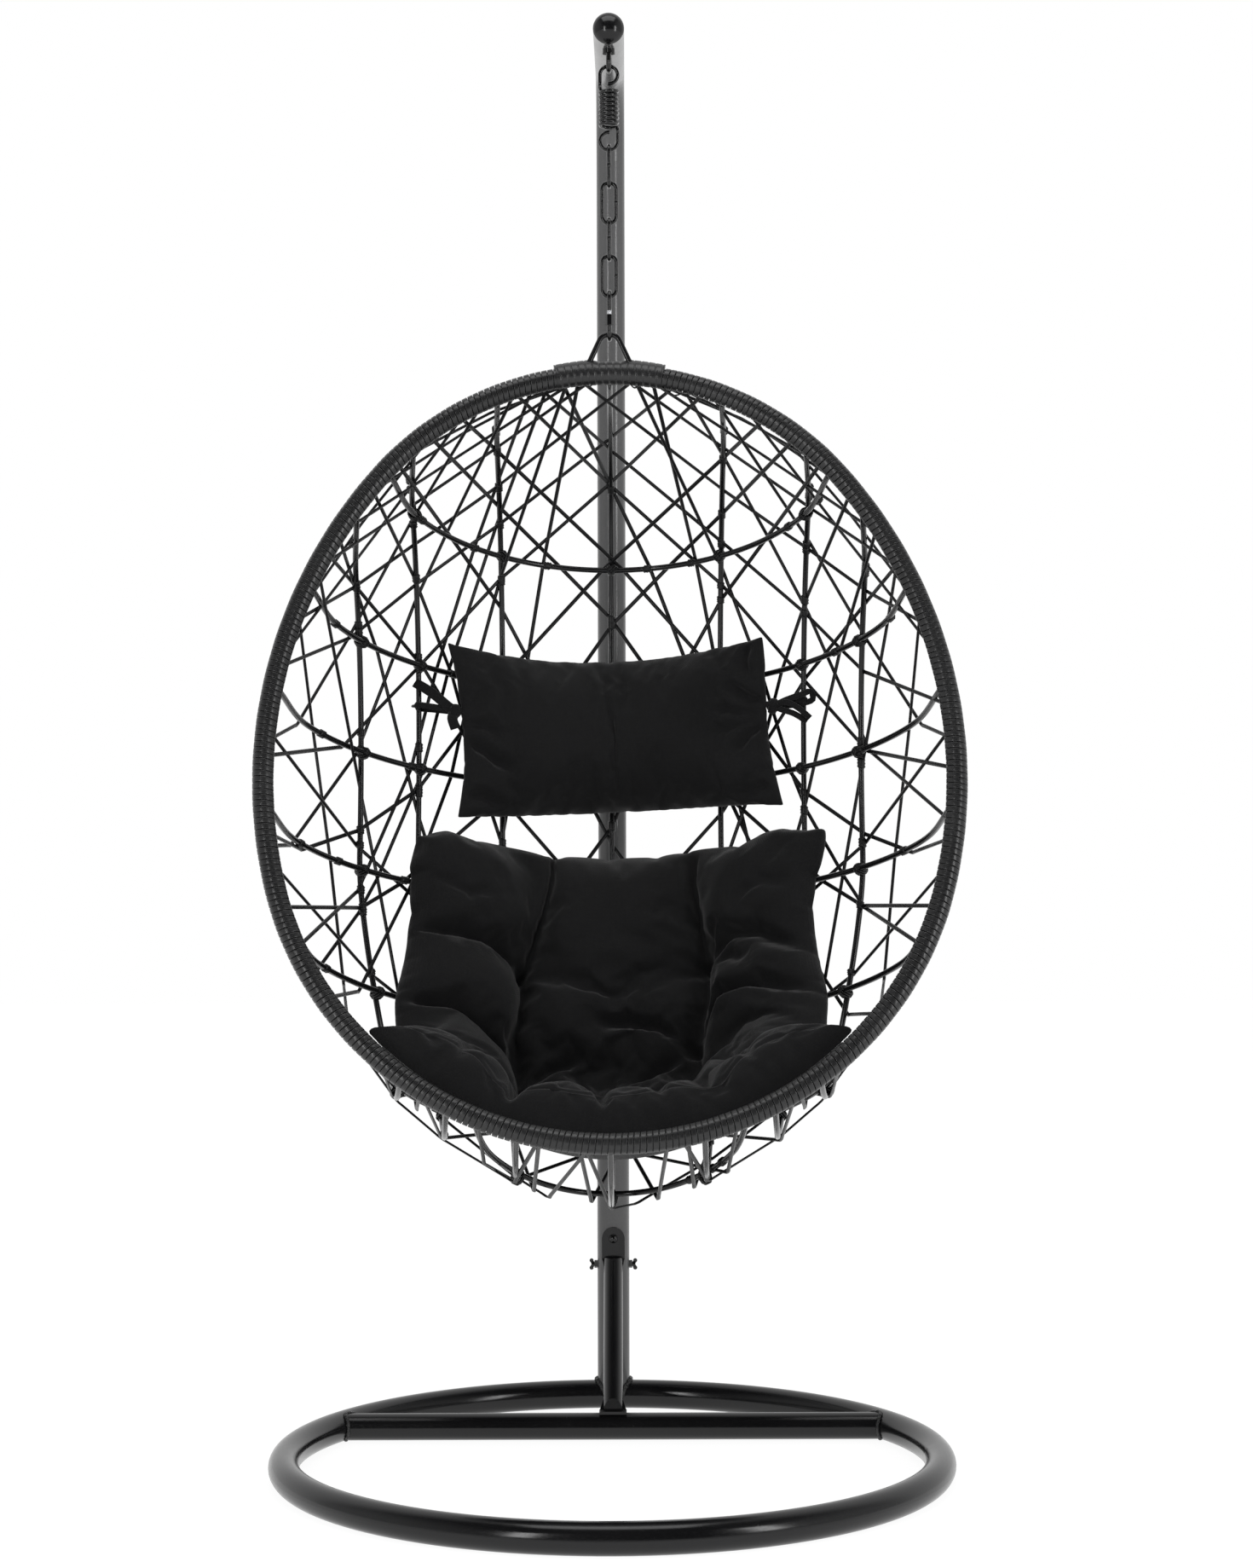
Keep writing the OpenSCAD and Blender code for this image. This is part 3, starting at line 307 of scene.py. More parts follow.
TILT = math.radians(17)
RIM_TOP_Z = 1494.11
HALF_W, RIM_H, WIDEST = 453.0, 1056.0, 558.0
TOP_R, SIDE_R, BOTTOM_R = 395.0, 653.043, 446.47
SIDE_X, BOTTOM_C = HALF_W - SIDE_R, RIM_H - BOTTOM_R
TOP_JOIN, LOW_JOIN = math.radians(39.174), math.radians(14.445)
TOP_JOIN_V, LOW_JOIN_V = 145.5, 720.9
WRAP_R, ROD_D, LAYER_PLAY = 13.0, 8.0, 1.3
RIB_OUT = ROD_D + LAYER_PLAY
START_DEPTH = 170  # a rod runs straight from the rim to where its shell is this deep
DEPTH, DEEPER, FULLNESS = 420, 100, 3.5
SAG = 0.15  # how much the shell's depth lowers its underside
FRONT_DROP = 0.31  # how much its depth lowers a point in the front view
SPACING, CANE_W, CANE_T = 0.008, 0.0058, 0.0032  # metres
TURN = Matrix.Rotation(-TILT, 3, "X")


def place(point):
    """From the basket's own frame in millimetres to the row frame in metres."""
    return (TURN @ Vector(point) + Vector((0, 0, RIM_TOP_Z))) / 1000


def mouth(v):
    if v <= 0 or v >= RIM_H:
        return 0.0
    if v < TOP_JOIN_V:
        return math.sqrt(TOP_R ** 2 - (TOP_R - v) ** 2)
    if v > LOW_JOIN_V:
        return math.sqrt(max(0.0, BOTTOM_R ** 2 - (v - BOTTOM_C) ** 2))
    return SIDE_X + math.sqrt(SIDE_R ** 2 - (v - WIDEST) ** 2)


def reach(v):
    return (v - WIDEST) / (WIDEST if v < WIDEST else RIM_H - WIDEST)


def shell_depth(x, v):
    fullness = max(0.0, 1 - abs(reach(v)) ** FULLNESS) ** (1 / FULLNESS)
    bow = math.sqrt(max(0.0, 1 - (x / max(mouth(v), 0.001)) ** 2))
    return (DEPTH + DEEPER * v / RIM_H) * fullness * bow


def shell_point(x, v, out=0.0):
    w = shell_depth(x, v)
    at = Vector((x, w, -v - SAG * w * max(0.0, reach(v)) ** 2))
    if out:
        up = -math.copysign(abs(reach(v)) ** 1.6, reach(v)) / WIDEST
        at += out * Vector((x / HALF_W ** 2, w / (DEPTH + DEEPER) ** 2, up)).normalized()
    return at


def shell_normal(x, v):
    across = shell_point(x + 1, v) - shell_point(x - 1, v)
    down = shell_point(x, v + 1) - shell_point(x, v - 1)
    return across.cross(down).normalized()


def raised(x, v, out):
    """A point held this far out from the shell, with its outward way."""
    normal = shell_normal(x, v)
    return shell_point(x, v) + out * normal, normal


def halved(low, high, beyond, count):
    """The last two ends of a range cut in half where beyond() begins to hold."""
    for _ in range(count):
        middle = (low + high) / 2
        if beyond(middle):
            high = middle
        else:
            low = middle
    return low, high


def landed(route, shallow, deep, depth):
    """How far along a route the shell has come to this depth."""
    return halved(shallow, deep, lambda t: shell_depth(*route(t)) > depth, 24)[1]


def rim_way(x, v):
    if v < TOP_JOIN_V:
        return Vector((x, 0, TOP_R - v)).normalized()
    if v > LOW_JOIN_V:
        return Vector((x, 0, BOTTOM_C - v)).normalized()
    return Vector((math.copysign(abs(x) - SIDE_X, x), 0, WIDEST - v)).normalized()


def rim_tip(spot, on_rim):
    """The end of a rod or strand in the winding at a (x, v) of the mouth, with its outward way."""
    x, v = spot
    way = rim_way(x, v)
    return Vector((x, math.sqrt(WRAP_R ** 2 - on_rim ** 2) - 1.5, -v)) + on_rim * way, way


def over_shell(route, out, on_rim):
    """A rod over the shell as (point, outward) pairs, straight from the rim to START_DEPTH."""
    start, end = landed(route, 0, 0.5, START_DEPTH), landed(route, 1, 0.5, START_DEPTH)
    line, steps = [rim_tip(route(0), on_rim)], 40
    for k in range(steps + 1):
        t = start + (end - start) * (1 - math.cos(math.pi * k / steps)) / 2
        line.append(raised(*route(t), out))
    return line + [rim_tip(route(1), on_rim)]


def smoothed(line, spacing):
    """The (point, outward) pairs run through by one even curve, in metres in the row frame."""
    points = np.array([place(p) for p, _ in line])
    outs = np.array([TURN @ n for _, n in line])
    step = np.linalg.norm(np.diff(points, axis=0), axis=1)
    way = np.diff(points, axis=0) / step[:, None]
    bend = (step[1:, None] * way[:-1] + step[:-1, None] * way[1:]) / (step[:-1] + step[1:])[:, None]
    bend = np.vstack([way[:1], bend, way[-1:]])
    dense, dense_out = [], []
    for k in range(len(points) - 1):
        for t in np.linspace(0, 1, 8, endpoint=False):
            rise = t * t * (3 - 2 * t)
            dense.append(points[k] * (1 - rise) + points[k + 1] * rise
                         + step[k] * (t * (1 - t) ** 2 * bend[k] - t * t * (1 - t) * bend[k + 1]))
            dense_out.append(outs[k] * (1 - t) + outs[k + 1] * t)
    dense.append(points[-1])
    dense_out.append(outs[-1])
    dense, dense_out = np.array(dense), np.array(dense_out)
    run = np.concatenate([[0], np.cumsum(np.linalg.norm(np.diff(dense, axis=0), axis=1))])
    count = max(4, round(run[-1] / spacing))
    even = np.linspace(0, run[-1], count + 1)
    take = lambda table: np.stack([np.interp(even, run, table[:, i]) for i in range(3)], axis=1)
    return [(Vector(p), Vector(n).normalized()) for p, n in zip(take(dense), take(dense_out))]


# ---- mesh helpers


def angles(count):
    return [2 * math.pi * k / count for k in range(count)]


def made_of(result, kind):
    """The vertices or faces among what an operator has made."""
    return [g for g in result["geom"] if isinstance(g, kind)]


def bent_tube(line, width, thick, sides=8, swell=None, closed=False, squareness=1.0, lean=0.0):
    """A tube laid along (point, outward) pairs: drawn straight as a ring, run out,
    cut across and then set on the line. swell(k) scales a cut, lean slants the cuts.
    Its UV map is in metres, across and along."""
    n = len(line)
    bm = bmesh.new()
    bmesh.ops.create_circle(bm, segments=sides, radius=1)
    run = bmesh.ops.extrude_edge_only(bm, edges=bm.edges[:])
    bmesh.ops.translate(bm, verts=made_of(run, bmesh.types.BMVert), vec=(0, 0, 1))
    lengthwise = [e for e in bm.edges if abs(e.verts[0].co.z - e.verts[1].co.z) > 0.5]
    if n > 2:
        bmesh.ops.subdivide_edges(bm, edges=lengthwise, cuts=n - 2, use_grid_fill=True)
    points = [p for p, _ in line]
    total = [0.0]
    for a, b in zip(points, points[1:]):
        total.append(total[-1] + (b - a).length)
    sets = []
    for k in range(n):
        before = points[k - 1] if k or closed else points[0]
        after = points[(k + 1) % n] if k < n - 1 or closed else points[-1]
        way = (after - before).normalized()
        side = way.cross(line[k][1]).normalized()
        sets.append((points[k], side, side.cross(way), way))
    uv = bm.loops.layers.uv.new("UVMap")
    around = math.pi * (width + thick) / 2
    for face in bm.faces:
        middle = face.calc_center_median()
        base = math.atan2(middle.y, middle.x)
        for loop in face.loops:
            co = loop.vert.co
            swing = (math.atan2(co.y, co.x) - base + math.pi) % (2 * math.pi) - math.pi
            along = total[min(n - 1, round(co.z * (n - 1)))]
            loop[uv].uv = ((base + swing) / (2 * math.pi) * around, along)
    for vert in bm.verts:
        k = min(n - 1, max(0, round(vert.co.z * (n - 1))))
        x, y = (math.copysign(abs(c) ** squareness, c) for c in (vert.co.x, vert.co.y))
        if swell:
            x, y = x * swell(k), y * swell(k)
        point, side, out, way = sets[k]
        vert.co = point + side * x * width / 2 + out * y * thick / 2 + way * lean * x
    rims = [e for e in bm.edges if e.is_boundary]
    if closed:
        bmesh.ops.bridge_loops(bm, edges=rims)
    else:
        bmesh.ops.holes_fill(bm, edges=rims, sides=0)
    return bm


def take_in(whole, part):
    """Adds one mesh to another."""
    carrier = bpy.data.meshes.new("carrier")
    part.to_mesh(carrier)
    part.free()
    whole.from_mesh(carrier)
    bpy.data.meshes.remove(carrier)


def finish_piece(name, bm, material, body, replaces=()):
    """The mesh as an object that rides on its body, if it has one."""
    bmesh.ops.recalc_face_normals(bm, faces=bm.faces[:])
    piece = mesh_object(name, bm, material)
    piece.data.shade_smooth()
    if body:
        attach(piece, body)
    if replaces:
        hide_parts(*replaces)
    return piece


# ---- routes over the shell

HOOP_AT = [139, 305, 447, 612, 778, 930, 1018]
RIB_X = {"rib_centre": 0, "left_inner_rib": -155, "left_middle_rib": -270, "left_outer_rib": -345,
         "right_inner_rib": 155, "right_middle_rib": 270, "right_outer_rib": 345}
RIB_TAPER, TAPER_FROM, RIB_FOOT = 0.22, 600, 0.78
STRANDS = {
    "rising_right": [
        [-37, -5], [-45, -9], [-53, -6], [-59, -3], [-68, 4], [-75, 11], [-88, 16],
        [-100, 27], [-112, 33], [-138, 39], [-175, 46], [168, 53], [149, 59], [132, 67]],
    "rising_left": [
        [40, 7], [44, 11], [54, 7], [60, 3], [69, -5], [81, -12], [90, -16],
        [101, -26], [112, -32], [141, -39], [171, -45], [-169, -54], [-149, -60], [-134, -67]],
    "left_side": [
        [-60, -38], [-68, -31], [-74, -25], [-86, -22], [-102, -16], [-119, -13],
        [-128, -7], [-141, 59], [-149, 84], [-159, 105], [-176, 120], [169, 129]],
    "right_side": [
        [55, 33], [67, 28], [74, 23], [86, 17], [99, 12], [119, 4], [131, -8],
        [141, -57], [150, -84], [160, -104], [-177, -119], [-169, -130]],
    "steep": [[-10, -121], [-5, -148], [7, 142]],
}  # each strand's two ends on the rim, in degrees clockwise from the top


def rim_spot(clock):
    turn = math.radians(clock)
    v = WIDEST - (WIDEST if math.cos(turn) > 0 else RIM_H - WIDEST) * math.cos(turn)
    return math.copysign(mouth(v), math.sin(turn)), v


def hung(x, level):
    """How far down the shell a strand lies whose chord has this level in the front view."""
    def beyond(v):
        t = min(1.0, max(0.0, (WIDEST - v) / (WIDEST - 150)))
        return v + FRONT_DROP * t * t * (3 - 2 * t) * shell_depth(x, v) >= level

    return sum(halved(0.0, level, beyond, 26)) / 2


def strand_route(pair):
    (ax, av), (bx, bv) = rim_spot(pair[0]), rim_spot(pair[1])

    def route(t):
        x, level = ax + (bx - ax) * t, av + (bv - av) * t
        return x, level if level > WIDEST else hung(x, level)
    return route


def hoop_route(v):
    half = mouth(v)
    return lambda t: (-half * math.cos(math.pi * t), v)


def rib_x_at(x, v):
    end = low_v(x)
    return x * (1 - RIB_TAPER * max(0.0, (v - TAPER_FROM) / (end - TAPER_FROM)) ** 1.5)


def low_v(x):
    end = abs(x) * RIB_FOOT
    v = BOTTOM_C + math.sqrt(BOTTOM_R ** 2 - end * end)
    return v if v >= LOW_JOIN_V else WIDEST + math.sqrt(SIDE_R ** 2 - (end - SIDE_X) ** 2)


def rib_route(x):
    top = TOP_R - math.sqrt(max(0.0, TOP_R ** 2 - x * x))
    if top > TOP_JOIN_V:
        top = WIDEST - math.sqrt(SIDE_R ** 2 - (abs(x) - SIDE_X) ** 2)
    low = low_v(x)
    return lambda t: (rib_x_at(x, top + (low - top) * t), top + (low - top) * t)


# ---- rods, strands and lashings


def lay_rods(material):
    """Smooth ribs and hoops, with their ends in the winding on the rim."""
    rods = [(name, rib_route(x), RIB_OUT) for name, x in RIB_X.items()]
    rods += [(f"hoop_{i + 1}", hoop_route(v), 0.0) for i, v in enumerate(HOOP_AT)]
    for name, route, out in rods:
        line = smoothed(over_shell(route, out, -6), SPACING)
        rod = bent_tube(line, ROD_D / 1000, ROD_D / 1000, sides=10)
        finish_piece(name + "_rod", rod, material, "basket", [name])


def rod_crossings(route, shallowest):
    """Where a strand's route passes the ribs and hoops, as sorted (t, x, v)."""
    past_ribs = [lambda t, x=x: route(t)[0] - rib_x_at(x, route(t)[1]) for x in RIB_X.values()]
    past_hoops = [lambda t, v=v: route(t)[1] - v for v in HOOP_AT]
    found = []
    for miss in past_ribs + past_hoops:
        for k in range(60):
            a, b = k / 60, (k + 1) / 60
            if miss(a) * miss(b) < 0:
                t = a + (b - a) * miss(a) / (miss(a) - miss(b))
                if shell_depth(*route(t)) > shallowest:
                    found.append((t, *route(t)))
    return sorted(found)


def taut_line(route, on_rod, on_rim):
    """A strand pulled straight from rod to rod and from the outer rods to the rim."""
    stops = [rim_tip(route(0), on_rim)]
    last = -1.0
    for t, x, v in rod_crossings(route, 150):
        if t - last < 0.05:
            continue
        last = t
        stops.append(raised(x, v, on_rod))
    if len(stops) == 1:
        stops.append(raised(*route(0.5), on_rod))
    stops.append(rim_tip(route(1), on_rim))
    line = [stops[0]]
    for (a, out_a), (b, out_b) in zip(stops, stops[1:]):
        ease = min(0.3, 14 / (b - a).length)
        line += [(a.lerp(b, t), out_a.lerp(out_b, t)) for t in (ease, 1 - ease)] + [(b, out_b)]
    return line


def lay_strands(name, pairs, level, material):
    """One layer of strands, each a little further out at the rods than the layer under it."""
    whole = bmesh.new()
    for pair in pairs:
        taut = taut_line(strand_route(pair), 12 + level * LAYER_PLAY, -3 + level * 1.5)
        line = smoothed(taut, SPACING)
        take_in(whole, bent_tube(line, CANE_W, CANE_T, squareness=0.8))
    finish_piece(f"strands_{name}", whole, material, "basket", [f"cane_{name}"])


def wound_sleeve(whole, centre, way, out, length):
    """Three close turns of cane round a rod, as one ridged barrel."""
    radius, rings = 0.0052, 7
    line = [(centre + way * length * (k / (rings - 1) - 0.5), out) for k in range(rings)]
    ridge = lambda k: 0.8 if k in (0, rings - 1) else 1.16 if k % 2 else 1.0
    take_in(whole, bent_tube(line, 2 * radius, 2 * radius, swell=ridge, lean=0.0008))


def lashing(whole, centre, along, across, out):
    """Crossed turns of cane that bind a rib on a hoop."""
    for sign in (1, -1):
        diagonal = (along + sign * across).normalized()
        beside = diagonal.cross(out).normalized()
        for shift in (-0.0032, 0.0, 0.0032):
            loop = []
            for a in angles(10):
                spoke = diagonal * math.cos(a) * 0.0078 + out * math.sin(a) * 0.0104
                loop.append((centre + beside * shift + spoke, spoke.normalized()))
            take_in(whole, bent_tube(loop, 0.0036, 0.0024, sides=4, closed=True))


def bind_crossings(material):
    """Lashings where ribs cross hoops, and turns of cane where strands cross the rods."""
    chance = random.Random(7)
    ties = bmesh.new()
    for x in RIB_X.values():
        route = rib_route(x)
        low, high = route(0)[1], route(1)[1]
        for v in HOOP_AT:
            if not low + 12 < v < high - 12:
                continue
            at_x = rib_x_at(x, v)
            if shell_depth(at_x, v) < 60:
                continue
            centre, normal = raised(at_x, v, RIB_OUT / 2)
            above, below = (shell_point(rib_x_at(x, at), at) for at in (v + 2, v - 2))
            along = (above - below).normalized()
            across = (shell_point(at_x + 2, v) - shell_point(at_x - 2, v)).normalized()
            lashing(ties, place(centre), TURN @ along, TURN @ across, TURN @ normal)
    finish_piece("rib_lashings", ties, material, "basket")
    turns = bmesh.new()
    for pair in sum(STRANDS.values(), []):
        for _, x, v in rod_crossings(strand_route(pair), 90):
            at_hoop = min(abs(at - v) for at in HOOP_AT) < 0.5
            left_bare = 0.72 if at_hoop else 0.3
            if chance.random() < left_bare:
                continue
            dx, dv, lift = (2, 0, 0.0) if at_hoop else (0, 2, RIB_OUT)
            way = (shell_point(x + dx, v + dv) - shell_point(x - dx, v - dv)).normalized()
            centre, normal = raised(x, v, lift)
            length = chance.uniform(0.010, 0.015)
            wound_sleeve(turns, place(centre), TURN @ way, TURN @ normal, length)
    finish_piece("strand_turns", turns, material, "basket")


# ---- the wound rim

HALF_RUN = [TOP_R * (math.pi / 2 - TOP_JOIN), SIDE_R * (TOP_JOIN + LOW_JOIN),
            BOTTOM_R * (math.pi / 2 - LOW_JOIN)]
RIM_RUN = 2 * sum(HALF_RUN)
WIND_FROM, SADDLE_HALF, SADDLE_R = 71.0, 73.0, 14.6


def rim_at(run):
    """Centre of the rim tube and its outward direction, run millimetres clockwise from the top."""
    side = 1
    if run > RIM_RUN / 2:
        run, side = RIM_RUN - run, -1
    if run < HALF_RUN[0]:
        turn, radius, cx, cz = math.pi / 2 - run / TOP_R, TOP_R, 0, -TOP_R
    elif run < HALF_RUN[0] + HALF_RUN[1]:
        turn, radius, cx, cz = TOP_JOIN - (run - HALF_RUN[0]) / SIDE_R, SIDE_R, SIDE_X, -WIDEST
    else:
        past = run - HALF_RUN[0] - HALF_RUN[1]
        turn, radius, cx, cz = -LOW_JOIN - past / BOTTOM_R, BOTTOM_R, 0, -BOTTOM_C
    way = Vector((math.cos(turn) * side, 0, math.sin(turn)))
    return Vector(((cx + radius * math.cos(turn)) * side, 0, cz + radius * math.sin(turn))), way


def wind_rim(material):
    """One flat strip wound round the rim: spun straight in lengths, then bent along the rim."""
    span, steps, at_once = RIM_RUN - WIND_FROM - WIND_FROM, 14, 37
    turns = round(span / 8.0)
    pitch = span / turns
    half = pitch / 2 - 0.35
    side = [(11.6, 0), (13.6, 0.12), (13.98, 0.45), (14.05, 0.95)]
    strip = [(r, -half + z) for r, z in side] + [(r, half - z) for r, z in reversed(side)]
    whole = bmesh.new()
    for begin in range(0, turns, at_once):
        count = min(at_once, turns - begin)
        part = bmesh.new()
        ring = [part.verts.new((r, 0, z)) for r, z in strip]
        edges = [part.edges.new((a, b)) for a, b in zip(ring, ring[1:] + ring[:1])]
        bmesh.ops.spin(
            part, geom=ring + edges, cent=(0, 0, 0), axis=(0, 0, 1), dvec=(0, 0, pitch / steps),
            angle=2 * math.pi * count, steps=steps * count, use_merge=False, use_duplicate=False)
        for vert in part.verts:
            x, y, z = vert.co
            z += begin * pitch
            sway = 0.35 * math.sin(z * 0.071) + 0.25 * math.sin(z * 0.213 + 1.0)
            lift = 1 + 0.008 * math.sin(z * 0.11)
            centre, way = rim_at(min(RIM_RUN, max(0.0, WIND_FROM + z + sway)))
            vert.co = place(centre + way * x * lift + Vector((0, 1, 0)) * y * lift)
        bmesh.ops.holes_fill(part, edges=[e for e in part.edges if e.is_boundary], sides=0)
        take_in(whole, part)
    finish_piece("rim_winding", whole, material, "basket", ["rim_wrap"])


def wind_saddle(material):
    """The wide turns over the bail's feet, round the rim and the rods that lie on it."""
    half, rings, pitch, groove = SADDLE_HALF, 240, 9.4, 1.1
    line, tops = [], []
    for k in range(rings + 1):
        run = -half + 2 * half * k / rings
        centre, way = rim_at(run % RIM_RUN)
        line.append((place(centre), TURN @ way))
        x = abs(run)
        middle = 18.2 + 3.5 * max(0.0, min(1.0, (x - 14) / 10))
        tops.append(middle - 0.035 * max(0.0, x - 30))
    bm = bent_tube(line, 0.002, 0.002, sides=26)
    back = TURN @ Vector((0, 1, 0))
    for vert in bm.verts:
        k = min(rings, max(0, round((vert.co.x * 1000 / half + 1) / 2 * rings)))
        centre, way = line[k]
        off = vert.co - centre
        turn = math.atan2(off.dot(way), off.dot(back))
        crown = max(0.0, math.sin(turn))
        ridge = (2 * half * k / rings / pitch - 0.12 * turn) % 1.0
        radius = SADDLE_R - groove * max(0.0, 1 - min(ridge, 1 - ridge) / 0.11)
        narrow = 1 - 0.42 * crown ** 2 * (tops[k] - SADDLE_R) / 8
        rise = math.sin(turn) * radius + (tops[k] - SADDLE_R) * crown ** 0.6
        vert.co = centre + (back * math.cos(turn) * radius * narrow + way * rise) / 1000
    finish_piece("saddle_winding", bm, material, "basket", ["saddle_wrap"])


def loose_loops(material):
    """Short ends of strip that stand out below the top of the rim."""
    whole = bmesh.new()
    for start, end, drop in ((28, 44, 7), (74, 108, 10), (-38, -22, 6)):
        line = []
        for k in range(9):
            t = k / 8
            centre, way = rim_at((start + (end - start) * t) % RIM_RUN)
            inside = centre - way * (12.6 + drop * math.sin(math.pi * t)) + Vector((0, -2, 0))
            line.append((place(inside), TURN @ -way))
        take_in(whole, bent_tube(line, 0.0045, 0.0016, sides=6))
    finish_piece("loose_strip_ends", whole, material, "basket")


# ---- welds and small metal

RING_R, RING_TUBE_R, POST_BEAD_R = 444, 21, 24.4
CROSS_Y, CROSS_BEAD_R = 210, 19.3


def weld_bead(whole, ring, size, seed):
    """A rippled closed bead through a ring of (point, outward) pairs."""
    chance = random.Random(seed)
    ripple = [1 + 0.16 * math.sin(k * 2.1) + chance.uniform(-0.12, 0.12) for k in range(len(ring))]
    take_in(whole, bent_tube(ring, size, size, swell=lambda k: ripple[k], closed=True))


def weld_stand(material):
    """The beads round the post's foot and round both ends of the cross tube."""
    beads = bmesh.new()
    post = []
    for a in angles(72):
        x, y = POST_BEAD_R * math.cos(a), RING_R + POST_BEAD_R * math.sin(a)
        off = math.hypot(x, y) - RING_R
        rise = math.sqrt(RING_TUBE_R ** 2 - off ** 2) if abs(off) < RING_TUBE_R else 2.0
        at = Vector((x, y, RING_TUBE_R + rise + 1.2)) / 1000
        post.append((at, Vector((math.cos(a), math.sin(a), 0.6)).normalized()))
    weld_bead(beads, post, 0.0085, 3)
    for side in (1, -1):
        ring = []
        for a in angles(56):
            y, z = CROSS_Y + CROSS_BEAD_R * math.cos(a), CROSS_BEAD_R * math.sin(a)
            inner = RING_R - math.sqrt(max(0.0, RING_TUBE_R ** 2 - z ** 2))
            x = math.sqrt(inner ** 2 - y ** 2) - 1.5
            at = Vector((x * side, y, max(RING_TUBE_R + z, 4.2))) / 1000
            ring.append((at, Vector((0, math.cos(a), math.sin(a)))))
        weld_bead(beads, ring, 0.0058, 11 + side)
    finish_piece("stand_welds", beads, material, "stand")


def weld_links(material):
    """The small closing bump on a leg of each chain link."""
    for number in (1, 2, 3, 4):
        low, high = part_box(f"chain_link_{number}")
        leg = Vector((0.0095, 0, 0)) if high.x - low.x > high.y - low.y else Vector((0, -0.0095, 0))
        middle = (low + high) / 2 + leg
        line = [(middle + Vector((0, 0, 0.0016 * (k - 2))), leg.normalized()) for k in range(5)]
        swell = (1.02, 1.12, 1.2, 1.12, 1.02)
        bump = bent_tube(line, 0.0055, 0.0055, sides=12, swell=lambda k: swell[k])
        finish_piece(f"link_weld_{number}", bump, material, f"link_{number}")


def quick_link_thread(material):
    """Turns of bright thread that show above the nut."""
    low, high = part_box("quick_link_nut")
    centre = Vector(((low.x + high.x) / 2, (low.y + high.y) / 2, high.z))
    line = [(centre + Vector((0, 0, 0.0002 + 0.0005 * k)), Vector((0, -1, 0))) for k in range(12)]
    crest = lambda k: 1.05 if k % 2 else 0.94
    thread = bent_tube(line, 0.0062, 0.0062, sides=16, swell=crest, lean=0.0002)
    finish_piece("quick_link_thread", thread, material, "quick_link")


def wind_spring(material):
    """The coil as a piece of its own, made from a copy of the coil solid."""
    bm = bmesh.new()
    bm.from_mesh(nodes["spring_coil"].data)
    bmesh.ops.remove_doubles(bm, verts=bm.verts[:], dist=1e-6)
    coil = finish_piece("spring_coil_wire", bm, material, None, ["spring_coil"])
    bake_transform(coil)


# ---- cushions

SEAT_SIZE, PILLOW_SIZE = (292, 640), (240, 262)  # half across and the whole way down
SEAT_TOP, SEAT_LIFT, PILLOW_MIDDLE = 556, 22, 379
SEAT_THICK, PILLOW_THICK = (12, 84), (6, 92)  # at the seam and further in
PAD_BACK, PILLOW_CURVE, PILLOW_SEAM = 4.9, 0.3 * 103, 39
CLOTH = {"quality": 6, "mass": 0.25, "tension_stiffness": 14, "compression_stiffness": 14,
         "shear_stiffness": 6, "bending_stiffness": 0.35, "use_pressure": True,
         "vertex_group_mass": "held", "pin_stiffness": 4}
CLOTH_FRAMES = 20


def dip(at, middle, width):
    return math.exp(-((at - middle) / width) ** 2)


def seat_place(u, s):
    sides = 1 - 0.05 * math.sin(math.pi * s) + 0.08 * s + 0.055 * abs(u) ** 3 * dip(s, 0.43, 0.16)
    x = SEAT_SIZE[0] * u * sides + 24 * max(0.0, u) ** 4 * dip(s, 0, 0.09)
    top = SEAT_TOP - 30 * u * u
    corner = max(0.0, abs(u) - 0.84) / 0.16 * max(0.0, 0.08 - s) / 0.08
    x -= math.copysign(9 * corner, u)
    top += 20 * corner
    low = BOTTOM_C + math.sqrt(BOTTOM_R ** 2 - x * x) - SEAT_LIFT
    return x, top + (low - top) * math.sin(math.pi / 2 * s) ** 0.85


def edge_fall(u, s):
    return max(0.0, 1 - abs(u) ** 6) ** 0.5 * max(0.0, 1 - abs(2 * s - 1) ** 6) ** 0.5


def seat_fill(u, s):
    seams = dip(u, -0.5, 0.13) + dip(u, 0.5, 0.13)
    rows = dip(s, 0.22, 0.06) + dip(s, 0.47, 0.07)
    return edge_fall(u, s) * (1 - 0.42 * seams) * (1 - 0.28 * rows)


def seat_pull(s):
    t = max(0.0, (s - 0.55) / 0.45)
    return 0.8 * t * t * (3 - 2 * t)


def pillow_place(u, s):
    t = 2 * s - 1
    curl = max(0.0, -t) ** 3 * max(0.0, u) ** 3
    ear = max(0.0, t) ** 3 * max(0.0, u) ** 6
    bow = 0.025 if t < 0 else 0.13
    return (256 * u * (1 - 0.06 * (1 - t * t)) + 6 + 8 * t - 14 * curl,
            PILLOW_MIDDLE + 125 * t * (1 - bow * (1 - u * u)) + 5 - 9 * u + 6 * curl + 7 * ear)


def pillow_fill(u, s):
    return max(0.0, 1 - abs(u) ** 2.6) ** 0.6 * max(0.0, 1 - abs(2 * s - 1) ** 2.4) ** 0.6


